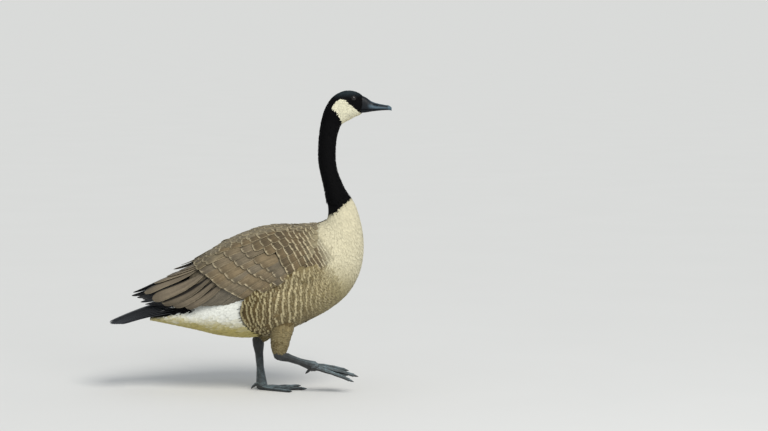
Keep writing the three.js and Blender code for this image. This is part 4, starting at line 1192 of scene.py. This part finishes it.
def build_eyes():
    wet, lid_skin = eye_material(), lid_material()
    x, z = EYE["at"]
    radius = EYE["radius"]
    half_width = body_point(*nearest((17, LAST - 0.1), (0.1, 3.0), 300, 200, [x], [z]))[0, 1]
    turn = np.linspace(*FULL_TURN, LID_POINTS, endpoint=False)
    opening = 1 / np.sqrt((np.cos(turn) / LID_OPENING[0]) ** 2 + (np.sin(turn) / LID_OPENING[1]) ** 2)
    opening = opening + 0.16 * bell(np.abs(np.cos(turn)) - 1, 0.02)
    for side in SIDES:
        centre = np.array([x, side * (half_width - EYE["sunk"]), z])
        ball = on_ball(*lattice((0.01, np.pi - 0.01), FULL_TURN, *EYE_GRID, ring=True), side)
        verts, faces = tube_mesh(ball * radius + centre)
        piece = make_object(f"eyeball_{SIDES[side]}", verts, faces if side > 0 else faces[:, ::-1], wet)
        gaze = (verts - centre) / radius
        gaze[:, 1] = 0
        gaze[side * (verts[:, 1] - centre[1]) < 0] = (1, 0, 0)
        set_colour(piece, "Gaze", gaze)
        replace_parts(piece, f"eye_{SIDES[side]}")
        rings = [centre + (radius + lift) * on_ball(opening + widen, turn, side) for widen, lift in LID_RINGS]
        faces = grid_faces(1, len(rings), LID_POINTS, closed=True)
        lids = make_object(f"eyelids_{SIDES[side]}", rings, faces if side < 0 else faces[:, ::-1], lid_skin)


def dress_legs():
    legs = leg_material()
    for name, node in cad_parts.items():
        if name.startswith(("shank", "foot")):
            node.data.materials.clear()
            node.data.materials.append(legs)


# Floor, light and camera
PHOTO = {"width": 768, "mm_per_px": 2.2, "centre": (292.6, 383.9), "distance": 5500, "eye_height": 858}
SENSOR = 36
FLOOR_SIZE = 6000
SKY, SKY_STRENGTH, WALL = (0.90, 0.95, 1.0), 0.55, (0.72, 0.72, 0.715)
SUN = {"energy": 2.1, "angle": math.radians(28), "color": (1.0, 0.97, 0.91)}
PANEL_LIGHT = {"energy": 14, "size": 1.2}


def aim_angles(direction):
    x, y, z = direction / np.linalg.norm(direction)
    return (math.acos(-z), 0, math.atan2(y, x) - math.pi / 2)


def add_light(name, kind, direction, place=(0, 0, 0), **settings):
    light = bpy.data.lights.new(name, kind)
    for key, value in settings.items():
        setattr(light, key, value)
    lamp = add_object(name, light)
    lamp.location = place
    lamp.rotation_euler = aim_angles(np.array(direction))


def build_stage():
    bpy.ops.mesh.primitive_plane_add(size=FLOOR_SIZE, location=(0, 0, 0))
    floor = bpy.context.object
    floor.name = "studio_floor"
    floor.data.materials.append(floor_material())
    world = bpy.data.worlds.new("studio")
    world.use_nodes = True
    tree = world.node_tree
    sky, wall = tree.nodes["Background"], tree.nodes.new("ShaderNodeBackground")
    sky.inputs[0].default_value = (*SKY, 1)
    sky.inputs[1].default_value = SKY_STRENGTH
    wall.inputs[0].default_value = (*WALL, 1)
    seen = tree.nodes.new("ShaderNodeMixShader")
    tree.links.new(tree.nodes.new("ShaderNodeLightPath").outputs["Is Camera Ray"], seen.inputs[0])
    tree.links.new(sky.outputs[0], seen.inputs[1])
    tree.links.new(wall.outputs[0], seen.inputs[2])
    tree.links.new(seen.outputs[0], tree.nodes["World Output"].inputs[0])
    bpy.context.scene.world = world
    add_light("soft_sun", "SUN", (-0.42, 0.85, -1.0), **SUN)
    add_light("panel", "AREA", (-1.5, 2.4, -0.95), (1.6, -2.4, 1.3), **PANEL_LIGHT)


def build_camera():
    camera = bpy.data.cameras.new("camera")
    camera.sensor_width = SENSOR
    camera.lens = SENSOR * PHOTO["distance"] / (PHOTO["width"] * PHOTO["mm_per_px"])
    camera.clip_end = 10000
    shot = add_object("camera", camera)
    x, z = PHOTO["centre"]
    place = np.array([x, -PHOTO["distance"], PHOTO["eye_height"]]) / 1000 + SHIFT
    target = np.array([x, 0, z]) / 1000 + SHIFT
    shot.location = place
    shot.rotation_euler = aim_angles(target - place)
    bpy.context.scene.camera = shot


bpy.context.scene.view_settings.view_transform = "Standard"
build_skin()
build_body_coats()
for side in SIDES:
    build_flank(side)
    build_shoulder(side)
    build_wing(side)
mantle_feathers()
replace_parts(build_tail(TAIL, QUILLS), "tail")
build_tail(UPPER_COVERTS, DOWN)
build_bill()
build_eyes()
dress_legs()
build_stage()
build_camera()
